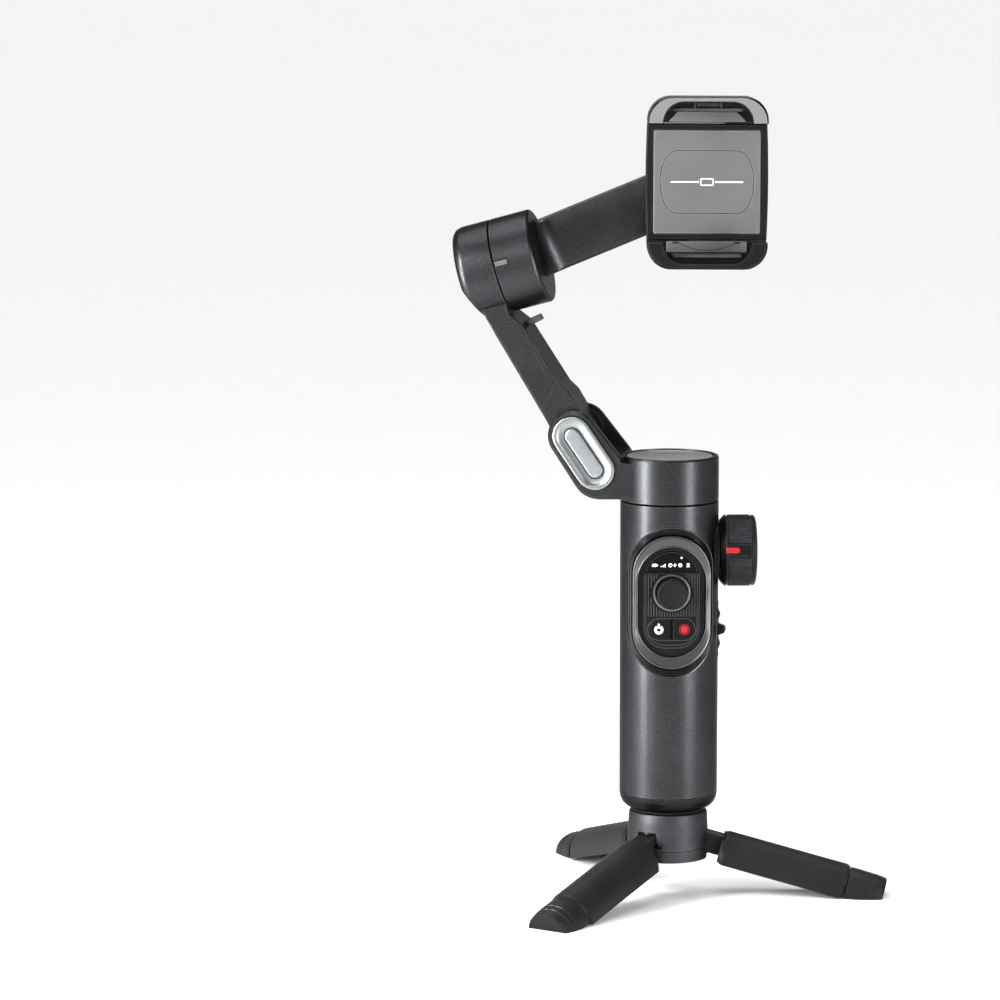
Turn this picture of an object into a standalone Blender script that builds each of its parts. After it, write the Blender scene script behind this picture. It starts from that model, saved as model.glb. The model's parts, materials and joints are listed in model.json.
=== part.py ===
"""Folding three-axis phone gimbal on a mini tripod.

Lengths are millimetres until they reach a mesh or an object location, where MM turns
them into metres. +Z is up, -Y is the side with the control panel, and the origin is
the point of the floor under the handle's axis.
"""
import math

import bmesh
import bpy
from mathutils import Vector

MM = 0.001
GAP = 0.3

# Handle
HANDLE_R = 20.0
HANDLE_WALL = 2.4
HANDLE_Z0 = 42.4
HANDLE_Z1 = 161.9
SHELL_SEAM_DEG = 20.5
SHELL_SEAM_HALF_GAP_DEG = 0.45
CAP_Z0 = 36.0
CAP_Z1 = 42.1

# Control panel on the handle's front
PANEL_Z = 123.0
PANEL_HOLE = (17.5, 31.1)
SURROUND_OUT = (17.2, 30.8)
SURROUND_IN = (16.15, 27.6)
BEZEL_OUT = (15.85, 27.3)
BEZEL_IN = (13.7, 23.2)
FACE_SIZE = (13.4, 22.9)
FACE_FRONT = -17.3
FACE_BACK = -13.6
DISPLAY_R = 11.2
DISPLAY_ARC_Z = 132.5
DISPLAY_Z0 = 135.2
STICK_Z = 126.9
STICK_PIVOT_Y = -14.5
BUTTON_Z = 111.8
BUTTON_HALF = (9.2, 3.95)
BUTTON_DIVIDER = 0.6
BUTTON_FRONT = -17.9

# Side knob and zoom slider
KNOB_Z = 141.5
KNOB_R = 14.5
KNOB_X0 = 20.3
KNOB_X1 = 35.0
BOSS_R = 8.7
FLANGE_R = 12.0
SLIDER_AZIMUTH_DEG = -8.0
SLIDER_Z = 109.5
SLIDER_HALF = (2.7, 8.5)
SLIDER_SLOT = (3.1, 11.1)
PORT_AZIMUTH_DEG = 186.0
PORT_Z = 74.0

# Pan motor housing and fold hinge
PAN_AT_REST_DEG = -11.0
PAN_Z0 = 162.4
PAN_Z1 = 180.8
PAN_SHAFT_R = 4.0
HINGE = (-37.5, 189.5)
HINGE_LOW = (-27.0, 174.9)
BUTTON_LOW_END = (-28.2, 175.9)
CLEVIS_R = 10.2
CLEVIS_LOW_R = 11.0
CLEVIS_HALF_DEPTH = 15.8
CLEVIS_SLOT_HALF = 12.3
CLEVIS_SLOT_Z = 181.3
RELEASE_R = 8.0
HINGE_PIN_R = 2.5

# First arm and tilt motor
ARM1_DIRECTION_DEG = 121.2
ARM1_LEFT = -6.8
ARM1_RIGHT = 5.9
ARM1_HALF_DEPTH = 12.0
KNUCKLE_R = 7.2
TILT_CENTRE = (-68.85, 256.7)
TILT_AXIS_DEG = 15.55
TILT_R = 19.25
TILT_CAP_LENGTH = 16.0
TILT_ROTOR_LENGTH = 17.0
SEAM_HALF = 0.25

# Second arm and roll motor
ARM2_DEG = 7.0
ARM2_YAW_DEG = 9.0
ARM2_LENGTH = 90.0
ARM2_OFFSET_Y = -4.0
ARM2_HALF_WIDTH = 11.3
ARM2_FRONT = 8.0
ARM2_BACK = 16.0
ARM2_FILLET_R = 10.0
ROLL_R = 18.5
ROLL_BACK = 20.3
ROLL_COVER_BACK = 25.0

# Phone clamp, in the frame of the roll axis
CLAMP_BACK = 5.0
CLAMP_FRONT = -3.4
CLAMP_HALF_WIDTH = 24.2
CLAMP_BULGE = 0.5
CLAMP_HALF_HEIGHT = 23.5
CLAMP_CAVITY = (21.7, 22.0)
CLAMP_BACK_WALL = 3.4
JAW_Z0 = 23.8
JAW_Z1 = 34.6
JAW_FRONT = -18.4
JAW_CORNER_R = 9.6
JAW_WALL = 4.3
JAW_LIP = 6.3
JAW_LIP_TOP = 2.2
JAW_MOUTH_R = 8.5
JAW_LIP_Y = -15.6
JAW_PAD_Z = 28.6
RACK_MODULE = 0.9
PINION_TEETH = 14
PRESSURE_ANGLE_DEG = 25.0
TOOTH_HEIGHT = 0.65
TOOTH_DEPTH = 0.85
BACKLASH = 0.12

# Tripod
HUB_Z0 = 15.0
HUB_SEAM_Z = 19.9
HUB_Z1 = 34.6
HUB_R = 16.7
HUB_TOP_R = 15.9
LEG_AZIMUTHS_DEG = (-6.5, 113.5, 233.5)
LEG_PIN = (14.5, 22.0)
LEG_SLOPE_DEG = 15.0
LEG_START = 7.6
LEG_STEP = 61.0
LEG_END = 76.8
LEG_HALF_WIDTH = 10.25
LEG_HALF_THICKNESS = 6.25
TONGUE_HALF_WIDTH = 4.0
TONGUE_R = 4.0
LEG_PIN_R = 1.5


# ---------------------------------------------------------------- outlines

def arc(cx, cz, radius, start_deg, end_deg, steps):
    """Points on an arc, both ends included."""
    points = []
    for i in range(steps + 1):
        angle = math.radians(start_deg + (end_deg - start_deg) * i / steps)
        points.append((cx + radius * math.cos(angle), cz + radius * math.sin(angle)))
    return points


def circle(cx, cz, radius, steps=48):
    return arc(cx, cz, radius, 0.0, 360.0 - 360.0 / steps, steps - 1)


def stadium(half_w, half_h, cx=0.0, cz=0.0, steps=16):
    """Upright stadium, counter-clockwise, starting at the right end of the top arc."""
    straight = half_h - half_w
    top = arc(cx, cz + straight, half_w, 0.0, 180.0, steps)
    low = arc(cx, cz - straight, half_w, 180.0, 360.0, steps)
    return top + low


def rounded_box(x0, x1, z0, z1, radius, steps=6):
    return (
        arc(x1 - radius, z1 - radius, radius, 0.0, 90.0, steps)
        + arc(x0 + radius, z1 - radius, radius, 90.0, 180.0, steps)
        + arc(x0 + radius, z0 + radius, radius, 180.0, 270.0, steps)
        + arc(x1 - radius, z0 + radius, radius, 270.0, 360.0, steps)
    )


def hull(points):
    """Convex hull, counter-clockwise."""
    ordered = sorted(set((round(x, 5), round(z, 5)) for x, z in points))

    def half(sequence):
        chain = []
        for p in sequence:
            while len(chain) > 1:
                a, b = chain[-2], chain[-1]
                turn = (b[0] - a[0]) * (p[1] - a[1]) - (b[1] - a[1]) * (p[0] - a[0])
                if turn > 1e-7:
                    break
                chain.pop()
            chain.append(p)
        return chain[:-1]

    return half(ordered) + half(reversed(ordered))


def inset(outline, distance):
    """Counter-clockwise outline moved inwards by a distance."""
    moved = []
    count = len(outline)
    for i in range(count):
        before = Vector(outline[i - 1])
        here = Vector(outline[i])
        after = Vector(outline[(i + 1) % count])
        e1 = (here - before).normalized()
        e2 = (after - here).normalized()
        n1 = Vector((-e1.y, e1.x))
        n2 = Vector((-e2.y, e2.x))
        middle = n1 + n2
        if middle.length < 1e-6:
            middle = n1
        middle.normalize()
        stretch = distance / max(middle.dot(n1), 0.3)
        moved.append((here.x + middle.x * stretch, here.y + middle.y * stretch))
    return moved


# ---------------------------------------------------------------- objects

def frame(name, location, parent=None, turn=(0.0, 0.0, 0.0)):
    """Empty that carries a joint or a local frame. turn is in degrees."""
    empty = bpy.data.objects.new(name, None)
    empty.empty_display_size = 0.01
    empty.location = [v * MM for v in location]
    empty.rotation_euler = [math.radians(v) for v in turn]
    empty.parent = parent
    bpy.context.scene.collection.objects.link(empty)
    return empty


def finish_mesh(name, bm, parent, material, location, turn):
    bmesh.ops.remove_doubles(bm, verts=bm.verts, dist=0.00001)
    bmesh.ops.recalc_face_normals(bm, faces=bm.faces)
    mesh = bpy.data.meshes.new(name)
    bm.to_mesh(mesh)
    bm.free()
    mesh.shade_smooth()
    mesh.set_sharp_from_angle(angle=math.radians(32.0))
    thing = bpy.data.objects.new(name, mesh)
    thing.parent = parent
    thing.location = [v * MM for v in location]
    thing.rotation_euler = [math.radians(v) for v in turn]
    if material is not None:
        mesh.materials.append(make_material(name, *material))
    bpy.context.scene.collection.objects.link(thing)
    return thing


def make_material(name, colour, metallic, roughness):
    material = bpy.data.materials.new(name + "_mat")
    material.use_nodes = True
    shader = material.node_tree.nodes["Principled BSDF"]
    shader.inputs["Base Color"].default_value = (*colour, 1.0)
    shader.inputs["Metallic"].default_value = metallic
    shader.inputs["Roughness"].default_value = roughness
    return material


def loft(name, loops, parent, material=None, location=(0, 0, 0), turn=(0, 0, 0), ring=False):
    """Solid through loops of 3-D points, capped at both ends, or closed on itself."""
    bm = bmesh.new()
    rows = [[bm.verts.new([v * MM for v in p]) for p in loop] for loop in loops]
    pairs = list(zip(rows, rows[1:]))
    if ring:
        pairs.append((rows[-1], rows[0]))
    for first, second in pairs:
        count = len(first)
        for i in range(count):
            j = (i + 1) % count
            bm.faces.new((first[i], first[j], second[j], second[i]))
    if not ring:
        bm.faces.new(rows[0])
        bm.faces.new(rows[-1])
    return finish_mesh(name, bm, parent, material, location, turn)


def place(outline, depth, axis):
    if axis == "Y":
        return [(u, depth, v) for u, v in outline]
    if axis == "X":
        return [(depth, u, v) for u, v in outline]
    return [(u, v, depth) for u, v in outline]


def prism(name, outline, d0, d1, parent, material=None, edge=0.0, axis="Y",
          location=(0, 0, 0), turn=(0, 0, 0)):
    """Outline pushed along an axis, with a chamfered edge at both ends."""
    if edge > 0.0:
        steps = ((d0, edge), (d0 + edge, 0.0), (d1 - edge, 0.0), (d1, edge))
        loops = [place(inset(outline, i), d, axis) for d, i in steps]
    else:
        loops = [place(outline, d0, axis), place(outline, d1, axis)]
    return loft(name, loops, parent, material, location, turn)


def turned(name, profile, parent, material=None, axis="Z", steps=40,
           location=(0, 0, 0), turn=(0, 0, 0)):
    """Closed profile of (radius, height) points turned about an axis."""
    bm = bmesh.new()
    rows = []
    for radius, height in profile:
        if radius < 1e-6:
            rows.append([bm.verts.new(to_axis(0.0, 0.0, height, axis))])
            continue
        row = []
        for i in range(steps):
            angle = 2.0 * math.pi * i / steps
            row.append(bm.verts.new(to_axis(radius * math.cos(angle),
                                            radius * math.sin(angle), height, axis)))
        rows.append(row)
    pairs = list(zip(rows, rows[1:]))
    if len(rows[0]) > 1 and len(rows[-1]) > 1:
        pairs.append((rows[-1], rows[0]))
    for first, second in pairs:
        for i in range(steps):
            j = (i + 1) % steps
            if len(first) == 1:
                bm.faces.new((first[0], second[j], second[i]))
            elif len(second) == 1:
                bm.faces.new((first[i], first[j], second[0]))
            else:
                bm.faces.new((first[i], first[j], second[j], second[i]))
    return finish_mesh(name, bm, parent, material, location, turn)


def to_axis(a, b, height, axis):
    if axis == "X":
        return [height * MM, a * MM, b * MM]
    if axis == "Y":
        return [b * MM, height * MM, a * MM]
    return [a * MM, b * MM, height * MM]


def rod(name, radius, d0, d1, parent, material=None, axis="Z", chamfer=0.0, steps=20,
        location=(0, 0, 0), turn=(0, 0, 0)):
    profile = [(0.0, d0), (radius - chamfer, d0), (radius, d0 + chamfer),
               (radius, d1 - chamfer), (radius - chamfer, d1), (0.0, d1)]
    if chamfer == 0.0:
        profile = [(0.0, d0), (radius, d0), (radius, d1), (0.0, d1)]
    return turned(name, profile, parent, material, axis, steps, location, turn)


def block(name, low, high, parent, material=None, edge=0.0, location=(0, 0, 0), turn=(0, 0, 0)):
    radius = max(edge, 0.05)
    if edge > 0.0:
        outline = rounded_box(low[0], high[0], low[2], high[2], radius, 3)
    else:
        outline = [(low[0], low[2]), (high[0], low[2]), (high[0], high[2]), (low[0], high[2])]
    return prism(name, outline, low[1], high[1], parent, material, edge * 0.6, "Y",
                 location, turn)


def combine(target, other, operation="DIFFERENCE"):
    """Boolean with a helper solid that isn't rendered."""
    other.hide_render = True
    other.display_type = "WIRE"
    modifier = target.modifiers.new(operation.lower() + "_" + other.name, "BOOLEAN")
    modifier.operation = operation
    modifier.solver = "EXACT"
    modifier.object = other


def along(origin, start_deg, distance, side=0.0):
    """Point at a distance along a direction and to its right."""
    angle = math.radians(start_deg)
    return (origin[0] + distance * math.cos(angle) + side * math.sin(angle),
            origin[1] + distance * math.sin(angle) - side * math.cos(angle))


# ---------------------------------------------------------------- finishes

GRAPHITE = ((0.085, 0.087, 0.092), 0.75, 0.42)
DARK_GRAPHITE = ((0.05, 0.051, 0.055), 0.55, 0.45)
BLACK_PLASTIC = ((0.02, 0.02, 0.022), 0.0, 0.5)
GLOSS_BLACK = ((0.008, 0.008, 0.01), 0.0, 0.15)
GREY_PLATE = ((0.19, 0.19, 0.19), 0.0, 0.55)
SILVER = ((0.78, 0.79, 0.8), 1.0, 0.22)
DARK_CHROME = ((0.25, 0.25, 0.26), 1.0, 0.2)
STEEL = ((0.6, 0.6, 0.62), 1.0, 0.3)
RUBBER = ((0.03, 0.03, 0.03), 0.0, 0.8)
RED = ((0.7, 0.02, 0.02), 0.0, 0.4)
BRASS = ((0.7, 0.5, 0.2), 1.0, 0.35)
BOARD_GREEN = ((0.02, 0.16, 0.07), 0.0, 0.5)
CELL_BLUE = ((0.05, 0.16, 0.4), 0.0, 0.4)


# ---------------------------------------------------------------- handle

def shell_outline(start_deg, end_deg, steps):
    outer = arc(0.0, 0.0, HANDLE_R, start_deg, end_deg, steps)
    inner = arc(0.0, 0.0, HANDLE_R - HANDLE_WALL, end_deg, start_deg, steps)
    return outer + inner


def build_handle(root):
    panel = frame("panel_frame", (0, 0, PANEL_Z), root)
    knob_side = frame("knob_side_frame", (0, 0, KNOB_Z), root)
    slider_side = frame("slider_side_frame", (0, 0, SLIDER_Z), root,
                        (0, 0, SLIDER_AZIMUTH_DEG))
    port_side = frame("port_side_frame", (0, 0, PORT_Z), root, (0, 0, PORT_AZIMUTH_DEG))

    right = SHELL_SEAM_DEG
    left = 180.0 - SHELL_SEAM_DEG
    half_gap = SHELL_SEAM_HALF_GAP_DEG
    front = prism("handle_front_shell",
                  shell_outline(left + half_gap, 360.0 + right - half_gap, 36),
                  HANDLE_Z0, HANDLE_Z1, root, GRAPHITE, axis="Z")
    rear = prism("handle_rear_shell",
                 shell_outline(right + half_gap, left - half_gap, 24),
                 HANDLE_Z0, HANDLE_Z1, root, GRAPHITE, axis="Z")
    combine(front, prism("cut_panel_hole", stadium(*PANEL_HOLE), -26, -5, panel))
    combine(front, rod("cut_boss_front", BOSS_R + GAP, 6, 26, knob_side, axis="X"))
    combine(rear, rod("cut_boss_rear", BOSS_R + GAP, 6, 26, knob_side, axis="X"))
    combine(front, rod("cut_flange_front", FLANGE_R + GAP, 17.2, 26, knob_side, axis="X"))
    combine(rear, rod("cut_flange_rear", FLANGE_R + GAP, 17.2, 26, knob_side, axis="X"))
    combine(front, prism("cut_slider_slot", stadium(*SLIDER_SLOT), 12, 26, slider_side,
                         axis="X"))
    combine(front, prism("cut_port_hole", stadium(1.9, 4.8), 12, 26, port_side, axis="X"))

    turned("handle_bottom_cap",
           [(6.0, CAP_Z0), (15.2, CAP_Z0), (17.2, 36.7), (18.8, 38.2), (19.7, 40.2),
            (HANDLE_R, CAP_Z1), (8.5, CAP_Z1), (8.5, 39.0), (6.0, 39.0)],
           root, DARK_GRAPHITE)
    turned("thread_insert",
           [(3.4, CAP_Z0 + 0.1), (5.7, CAP_Z0 + 0.1), (5.7, 39.3), (7.8, 39.3),
            (7.8, 41.4), (3.4, 41.4)],
           root, BRASS, steps=24)
    rod("battery_cell", 9.2, 50.0, 116.0, root, CELL_BLUE, chamfer=0.8, location=(0, 3, 0))
    block("main_board", (-12, -8.6, 84), (12, -7.3, 140), root, BOARD_GREEN)
    turned("pan_motor_stator",
           [(4.4, 154.5), (16.4, 154.5), (17.2, 155.3), (17.2, 161.5), (4.4, 161.5)],
           root, DARK_GRAPHITE)
    prism("charging_port", stadium(1.6, 4.5), 15.5, 19.6, port_side, STEEL, axis="X")
    port = bpy.data.objects["charging_port"]
    combine(port, prism("cut_port_mouth", stadium(1.2, 4.1), 16.4, 22.0, port_side, axis="X"))
    build_panel(root, panel)
    build_knob(root, knob_side)
    build_slider(slider_side)


def build_panel(root, panel):
    outer = stadium(*SURROUND_OUT, steps=14)
    inner = stadium(*SURROUND_IN, steps=14)
    rim = [(x, -math.sqrt(HANDLE_R ** 2 - x * x) + 0.25, z) for x, z in outer]
    low_rim = [(x, -9.2, z) for x, z in outer]
    loft("panel_surround",
         [low_rim, rim, place(inner, -17.8, "Y"), place(inner, -9.2, "Y")],
         panel, GLOSS_BLACK, ring=True)

    bezel_out = stadium(*BEZEL_OUT, steps=14)
    bezel_in = stadium(*BEZEL_IN, steps=14)
    ledge = stadium(BEZEL_IN[0] - 1.6, BEZEL_IN[1] - 1.6, steps=14)
    loft("panel_bezel",
         [place(bezel_out, -12.0, "Y"), place(bezel_out, -18.7, "Y"),
          place(inset(bezel_out, 0.5), -19.3, "Y"), place(bezel_in, -18.2, "Y"),
          place(bezel_in, -13.3, "Y"), place(ledge, -13.3, "Y"), place(ledge, -12.0, "Y")],
         panel, DARK_CHROME, ring=True)

    face = prism("panel_face", stadium(*FACE_SIZE, steps=14), FACE_FRONT, FACE_BACK, panel,
                 BLACK_PLASTIC, edge=0.25)
    stick_hole = rod("cut_stick_hole", 5.6, -20, -10, root, axis="Y",
                     location=(0, 0, STICK_Z))
    combine(face, stick_hole)
    pill = stadium(BUTTON_HALF[1], BUTTON_HALF[0])
    pill = [(z, x) for x, z in reversed(pill)]
    combine(face, prism("cut_button_hole", inset(pill, -GAP), -20, -10, root,
                        location=(0, 0, BUTTON_Z)))
    half_chord = math.degrees(math.asin((DISPLAY_Z0 - DISPLAY_ARC_Z) / DISPLAY_R))
    segment = arc(0.0, DISPLAY_ARC_Z, DISPLAY_R, half_chord, 180.0 - half_chord, 28)
    combine(face, prism("cut_display_pocket", inset(segment, -GAP), -20, -16.3, root))
    prism("display_window", segment, -17.55, -16.6, root, GLOSS_BLACK, edge=0.15)

    turned("joystick_ring",
           [(6.3, -17.6), (6.3, -18.0), (6.6, -18.2), (7.35, -18.2), (7.65, -17.9),
            (7.65, -17.6)],
           root, SILVER, axis="Y", steps=36, location=(0, 0, STICK_Z))

    gimbal = frame("joystick_gimbal_frame", (0, STICK_PIVOT_Y, STICK_Z), root)
    turned("joystick_gimbal",
           [(2.7, -0.8), (4.6, -0.8), (4.6, 0.8), (2.7, 0.8)],
           gimbal, STEEL, axis="Y", steps=20)
    stick = frame("joystick_frame", (0, 0, 0), gimbal)
    turned("joystick_cap",
           [(0.0, 1.6), (2.1, 1.6), (2.2, -4.2), (3.2, -5.8), (5.4, -6.1), (6.15, -6.7),
            (6.15, -8.6), (5.6, -9.2), (4.6, -9.4), (0.0, -9.0)],
           stick, BLACK_PLASTIC, axis="Y", steps=32)

    for name, sign in (("power_button", -1), ("record_button", 1)):
        half_pill = [(BUTTON_DIVIDER, -BUTTON_HALF[1])]
        half_pill += arc(BUTTON_HALF[0] - BUTTON_HALF[1], 0.0, BUTTON_HALF[1], -90, 90, 16)
        half_pill += [(BUTTON_DIVIDER, BUTTON_HALF[1])]
        if sign < 0:
            half_pill = [(-x, z) for x, z in reversed(half_pill)]
        holder = frame(name + "_frame", (0, BUTTON_FRONT, BUTTON_Z), root)
        prism(name, half_pill, 0.0, 3.3, holder, BLACK_PLASTIC, edge=0.3)


def build_knob(root, side):
    turned("knob_boss",
           [(2.8, 12.6), (BOSS_R, 12.6), (BOSS_R, 17.5), (FLANGE_R, 17.5),
            (FLANGE_R, 19.6), (FLANGE_R - 0.4, 20.0), (2.8, 20.0)],
           side, BLACK_PLASTIC, axis="X", steps=40)
    spin = frame("knob_frame", (0, 0, 0), side)
    knob = turned("side_knob",
                  [(0.0, KNOB_X0), (12.4, KNOB_X0), (KNOB_R, 22.4), (KNOB_R, 33.4),
                   (KNOB_R - 0.6, 34.5), (KNOB_R - 1.8, KNOB_X1), (10.4, KNOB_X1),
                   (10.2, 34.0), (0.0, 34.0)],
                  spin, BLACK_PLASTIC, axis="X", steps=48)
    combine(knob, rod("cut_knob_bore", 2.8, 18.0, 24.3, spin, axis="X"))
    combine(knob, block("cut_pointer_pocket", (22.6, -20.0, -1.6), (27.8, -13.2, 1.6), spin))
    rod("knob_axle", 2.5, 13.0, 24.0, spin, STEEL, axis="X", chamfer=0.3)
    rod("knob_face", 8.6, 34.3, 34.9, spin, GREY_PLATE, axis="X", chamfer=0.2, steps=32)
    turned("knob_red_ring",
           [(8.9, 34.3), (9.9, 34.3), (9.9, 34.8), (9.6, 34.95), (9.2, 34.95), (8.9, 34.8)],
           spin, RED, axis="X", steps=32)
    block("knob_pointer", (22.9, -14.55, -1.3), (27.5, -13.5, 1.3), spin, RED, edge=0.2)


def build_slider(side):
    block("slider_base", (14.4, -5.0, -13.0), (16.0, 5.0, 13.0), side, BLACK_PLASTIC)
    ride = frame("slider_frame", (0, 0, 0), side)
    slider = prism("zoom_slider", stadium(*SLIDER_HALF), 16.3, 20.4, ride, BLACK_PLASTIC,
                   edge=0.5, axis="X")
    ridge = [(19.0, -2.6), (20.6, -2.4), (22.6, -1.6), (23.0, -1.2), (23.0, 1.2), (22.6, 1.6),
             (20.6, 2.4), (19.0, 2.6)]
    combine(slider, prism("add_slider_ridge", ridge, -2.3, 2.3, ride), "UNION")
    combine(slider, block("cut_mark_pocket", (22.5, -1.6, -0.9), (24.0, 1.6, 0.9), ride))
    block("slider_mark", (22.8, -1.3, -0.6), (23.2, 1.3, 0.6), ride, RED)


# ---------------------------------------------------------------- pan and fold

def build_pan(root):
    pan = frame("pan_frame", (0, 0, 0), root, (0, 0, PAN_AT_REST_DEG))
    housing = turned("pan_housing",
                     [(0.0, PAN_Z0), (HANDLE_R - 0.5, PAN_Z0), (HANDLE_R, PAN_Z0 + 0.5),
                      (HANDLE_R, PAN_Z1 - 0.8), (HANDLE_R - 0.3, PAN_Z1 - 0.2),
                      (HANDLE_R - 0.8, PAN_Z1), (0.0, PAN_Z1)],
                     pan, GRAPHITE)
    cheek = hull(circle(*HINGE, CLEVIS_R, 36) + circle(*HINGE_LOW, CLEVIS_LOW_R, 36))
    combine(housing, prism("add_cheeks", cheek, -CLEVIS_HALF_DEPTH, CLEVIS_HALF_DEPTH, pan,
                           edge=1.0), "UNION")
    web = [(-27.0, HINGE_LOW[1] - CLEVIS_LOW_R + 0.02), (-12.5, 164.2), (-12.5, 178.4),
           (-18.7, 178.9), (-18.7, 180.6), (-27.0, 180.6)]
    combine(housing, prism("add_web", web, -CLEVIS_HALF_DEPTH + 0.4, CLEVIS_HALF_DEPTH - 0.4,
                           pan), "UNION")
    combine(housing, block("cut_clevis_slot", (-60, -CLEVIS_SLOT_HALF, CLEVIS_SLOT_Z),
                           (-13.0, CLEVIS_SLOT_HALF, 215), pan))
    combine(housing, turned("cut_top_recess", [(0.0, 179.2), (17.9, 179.2), (18.3, PAN_Z1),
                                               (18.3, 186.0), (0.0, 186.0)], pan))
    combine(housing, rod("cut_pan_bore", PAN_SHAFT_R + GAP, 158, 176.3, pan))
    combine(housing, rod("cut_hinge_bore", HINGE_PIN_R + GAP, -13.5, 14.3, pan, axis="Y",
                         location=(HINGE[0], 0, HINGE[1])))
    release = hull(circle(*HINGE, RELEASE_R, 32) + circle(*BUTTON_LOW_END, RELEASE_R, 32))
    combine(housing, prism("cut_release_pocket", inset(release, -GAP), -18.0, -13.4, pan))

    rod("pan_top_disc", 17.6, 179.5, 180.5, pan, SILVER, chamfer=0.25, steps=48)
    rod("pan_shaft", PAN_SHAFT_R, 152.0, 176.0, pan, STEEL, chamfer=0.4)
    rod("hinge_pin", HINGE_PIN_R, -13.1, 14.0, pan, STEEL, axis="Y",
        location=(HINGE[0], 0, HINGE[1]))
    push = frame("release_frame", (0, 0, 0), pan)
    prism("hinge_release_button", release, -17.0, -14.7, push, SILVER, edge=0.7)
    return pan


def build_arm1(pan):
    fold = frame("fold_frame", (HINGE[0], 0, HINGE[1]), pan)
    tilt_x = TILT_CENTRE[0] - HINGE[0]
    tilt_z = TILT_CENTRE[1] - HINGE[1]

    def arm_point(s, n):
        return along((0.0, 0.0), ARM1_DIRECTION_DEG, s, n)

    def cap_point(x, z):
        return along((tilt_x, tilt_z), TILT_AXIS_DEG, x, -z)

    cap_turn = (0, -TILT_AXIS_DEG, 0)
    cap_at = (tilt_x, 0, tilt_z)
    end = -TILT_CAP_LENGTH
    arm = turned("arm1_shell",
                 [(0.0, end), (TILT_R - 4.0, end), (TILT_R - 2.0, end + 0.5),
                  (TILT_R - 0.6, end + 1.8), (TILT_R, end + 4.0),
                  (TILT_R, -SEAM_HALF - 0.3), (TILT_R - 0.3, -SEAM_HALF), (0.0, -SEAM_HALF)],
                 fold, GRAPHITE, axis="X", location=cap_at, turn=cap_turn)
    trim = [arm_point(40, ARM1_LEFT), arm_point(40, -30), arm_point(74.4, -30),
            arm_point(74.4, -8.5), arm_point(70, -8.1), arm_point(64, -7.6),
            arm_point(58, -7.2), arm_point(52, -6.9)]
    combine(arm, prism("cut_cap_corner", trim, -24, 24, fold))
    knuckle = arc(0.0, 0.0, KNUCKLE_R, ARM1_DIRECTION_DEG + 95, ARM1_DIRECTION_DEG + 270, 24)
    beam = knuckle + [
        arm_point(15.0, KNUCKLE_R), arm_point(19.5, ARM1_RIGHT), arm_point(49.0, 5.0),
        cap_point(0.4, -20.2), cap_point(-0.7, -19.0), cap_point(-0.7, -9.0),
        arm_point(68.0, -5.5), arm_point(60.0, ARM1_LEFT + 0.2), arm_point(50.0, ARM1_LEFT),
        arm_point(12.0, ARM1_LEFT)]
    combine(arm, prism("add_beam", beam, -ARM1_HALF_DEPTH, ARM1_HALF_DEPTH, fold, edge=0.5),
            "UNION")
    combine(arm, rod("cut_tilt_bore", PAN_SHAFT_R + GAP, -11.3, 2.0, fold, axis="X",
                     location=cap_at, turn=cap_turn))
    combine(arm, rod("cut_knuckle_bore", HINGE_PIN_R + GAP, -14, 14, fold, axis="Y"))
    cover = [arm_point(22.0, 4.6), arm_point(22.0, 9.0), arm_point(46.0, 9.0),
             arm_point(46.0, 4.2)]
    combine(arm, prism("cut_cover_pocket", cover, -9.3, 9.3, fold))
    plate = [arm_point(22.3, 4.9), arm_point(22.3, 5.75), arm_point(45.7, 5.1),
             arm_point(45.7, 4.5)]
    prism("arm1_cover", plate, -9.0, 9.0, fold, DARK_GRAPHITE)
    latch = [arm_point(49.6, 5.35), arm_point(47.0, 5.4), arm_point(46.5, 11.2),
             arm_point(49.0, 11.2)]
    prism("arm1_cable_clip", latch, -3.0, 3.0, fold, STEEL, edge=0.2)
    return fold, cap_at, cap_turn


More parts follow.
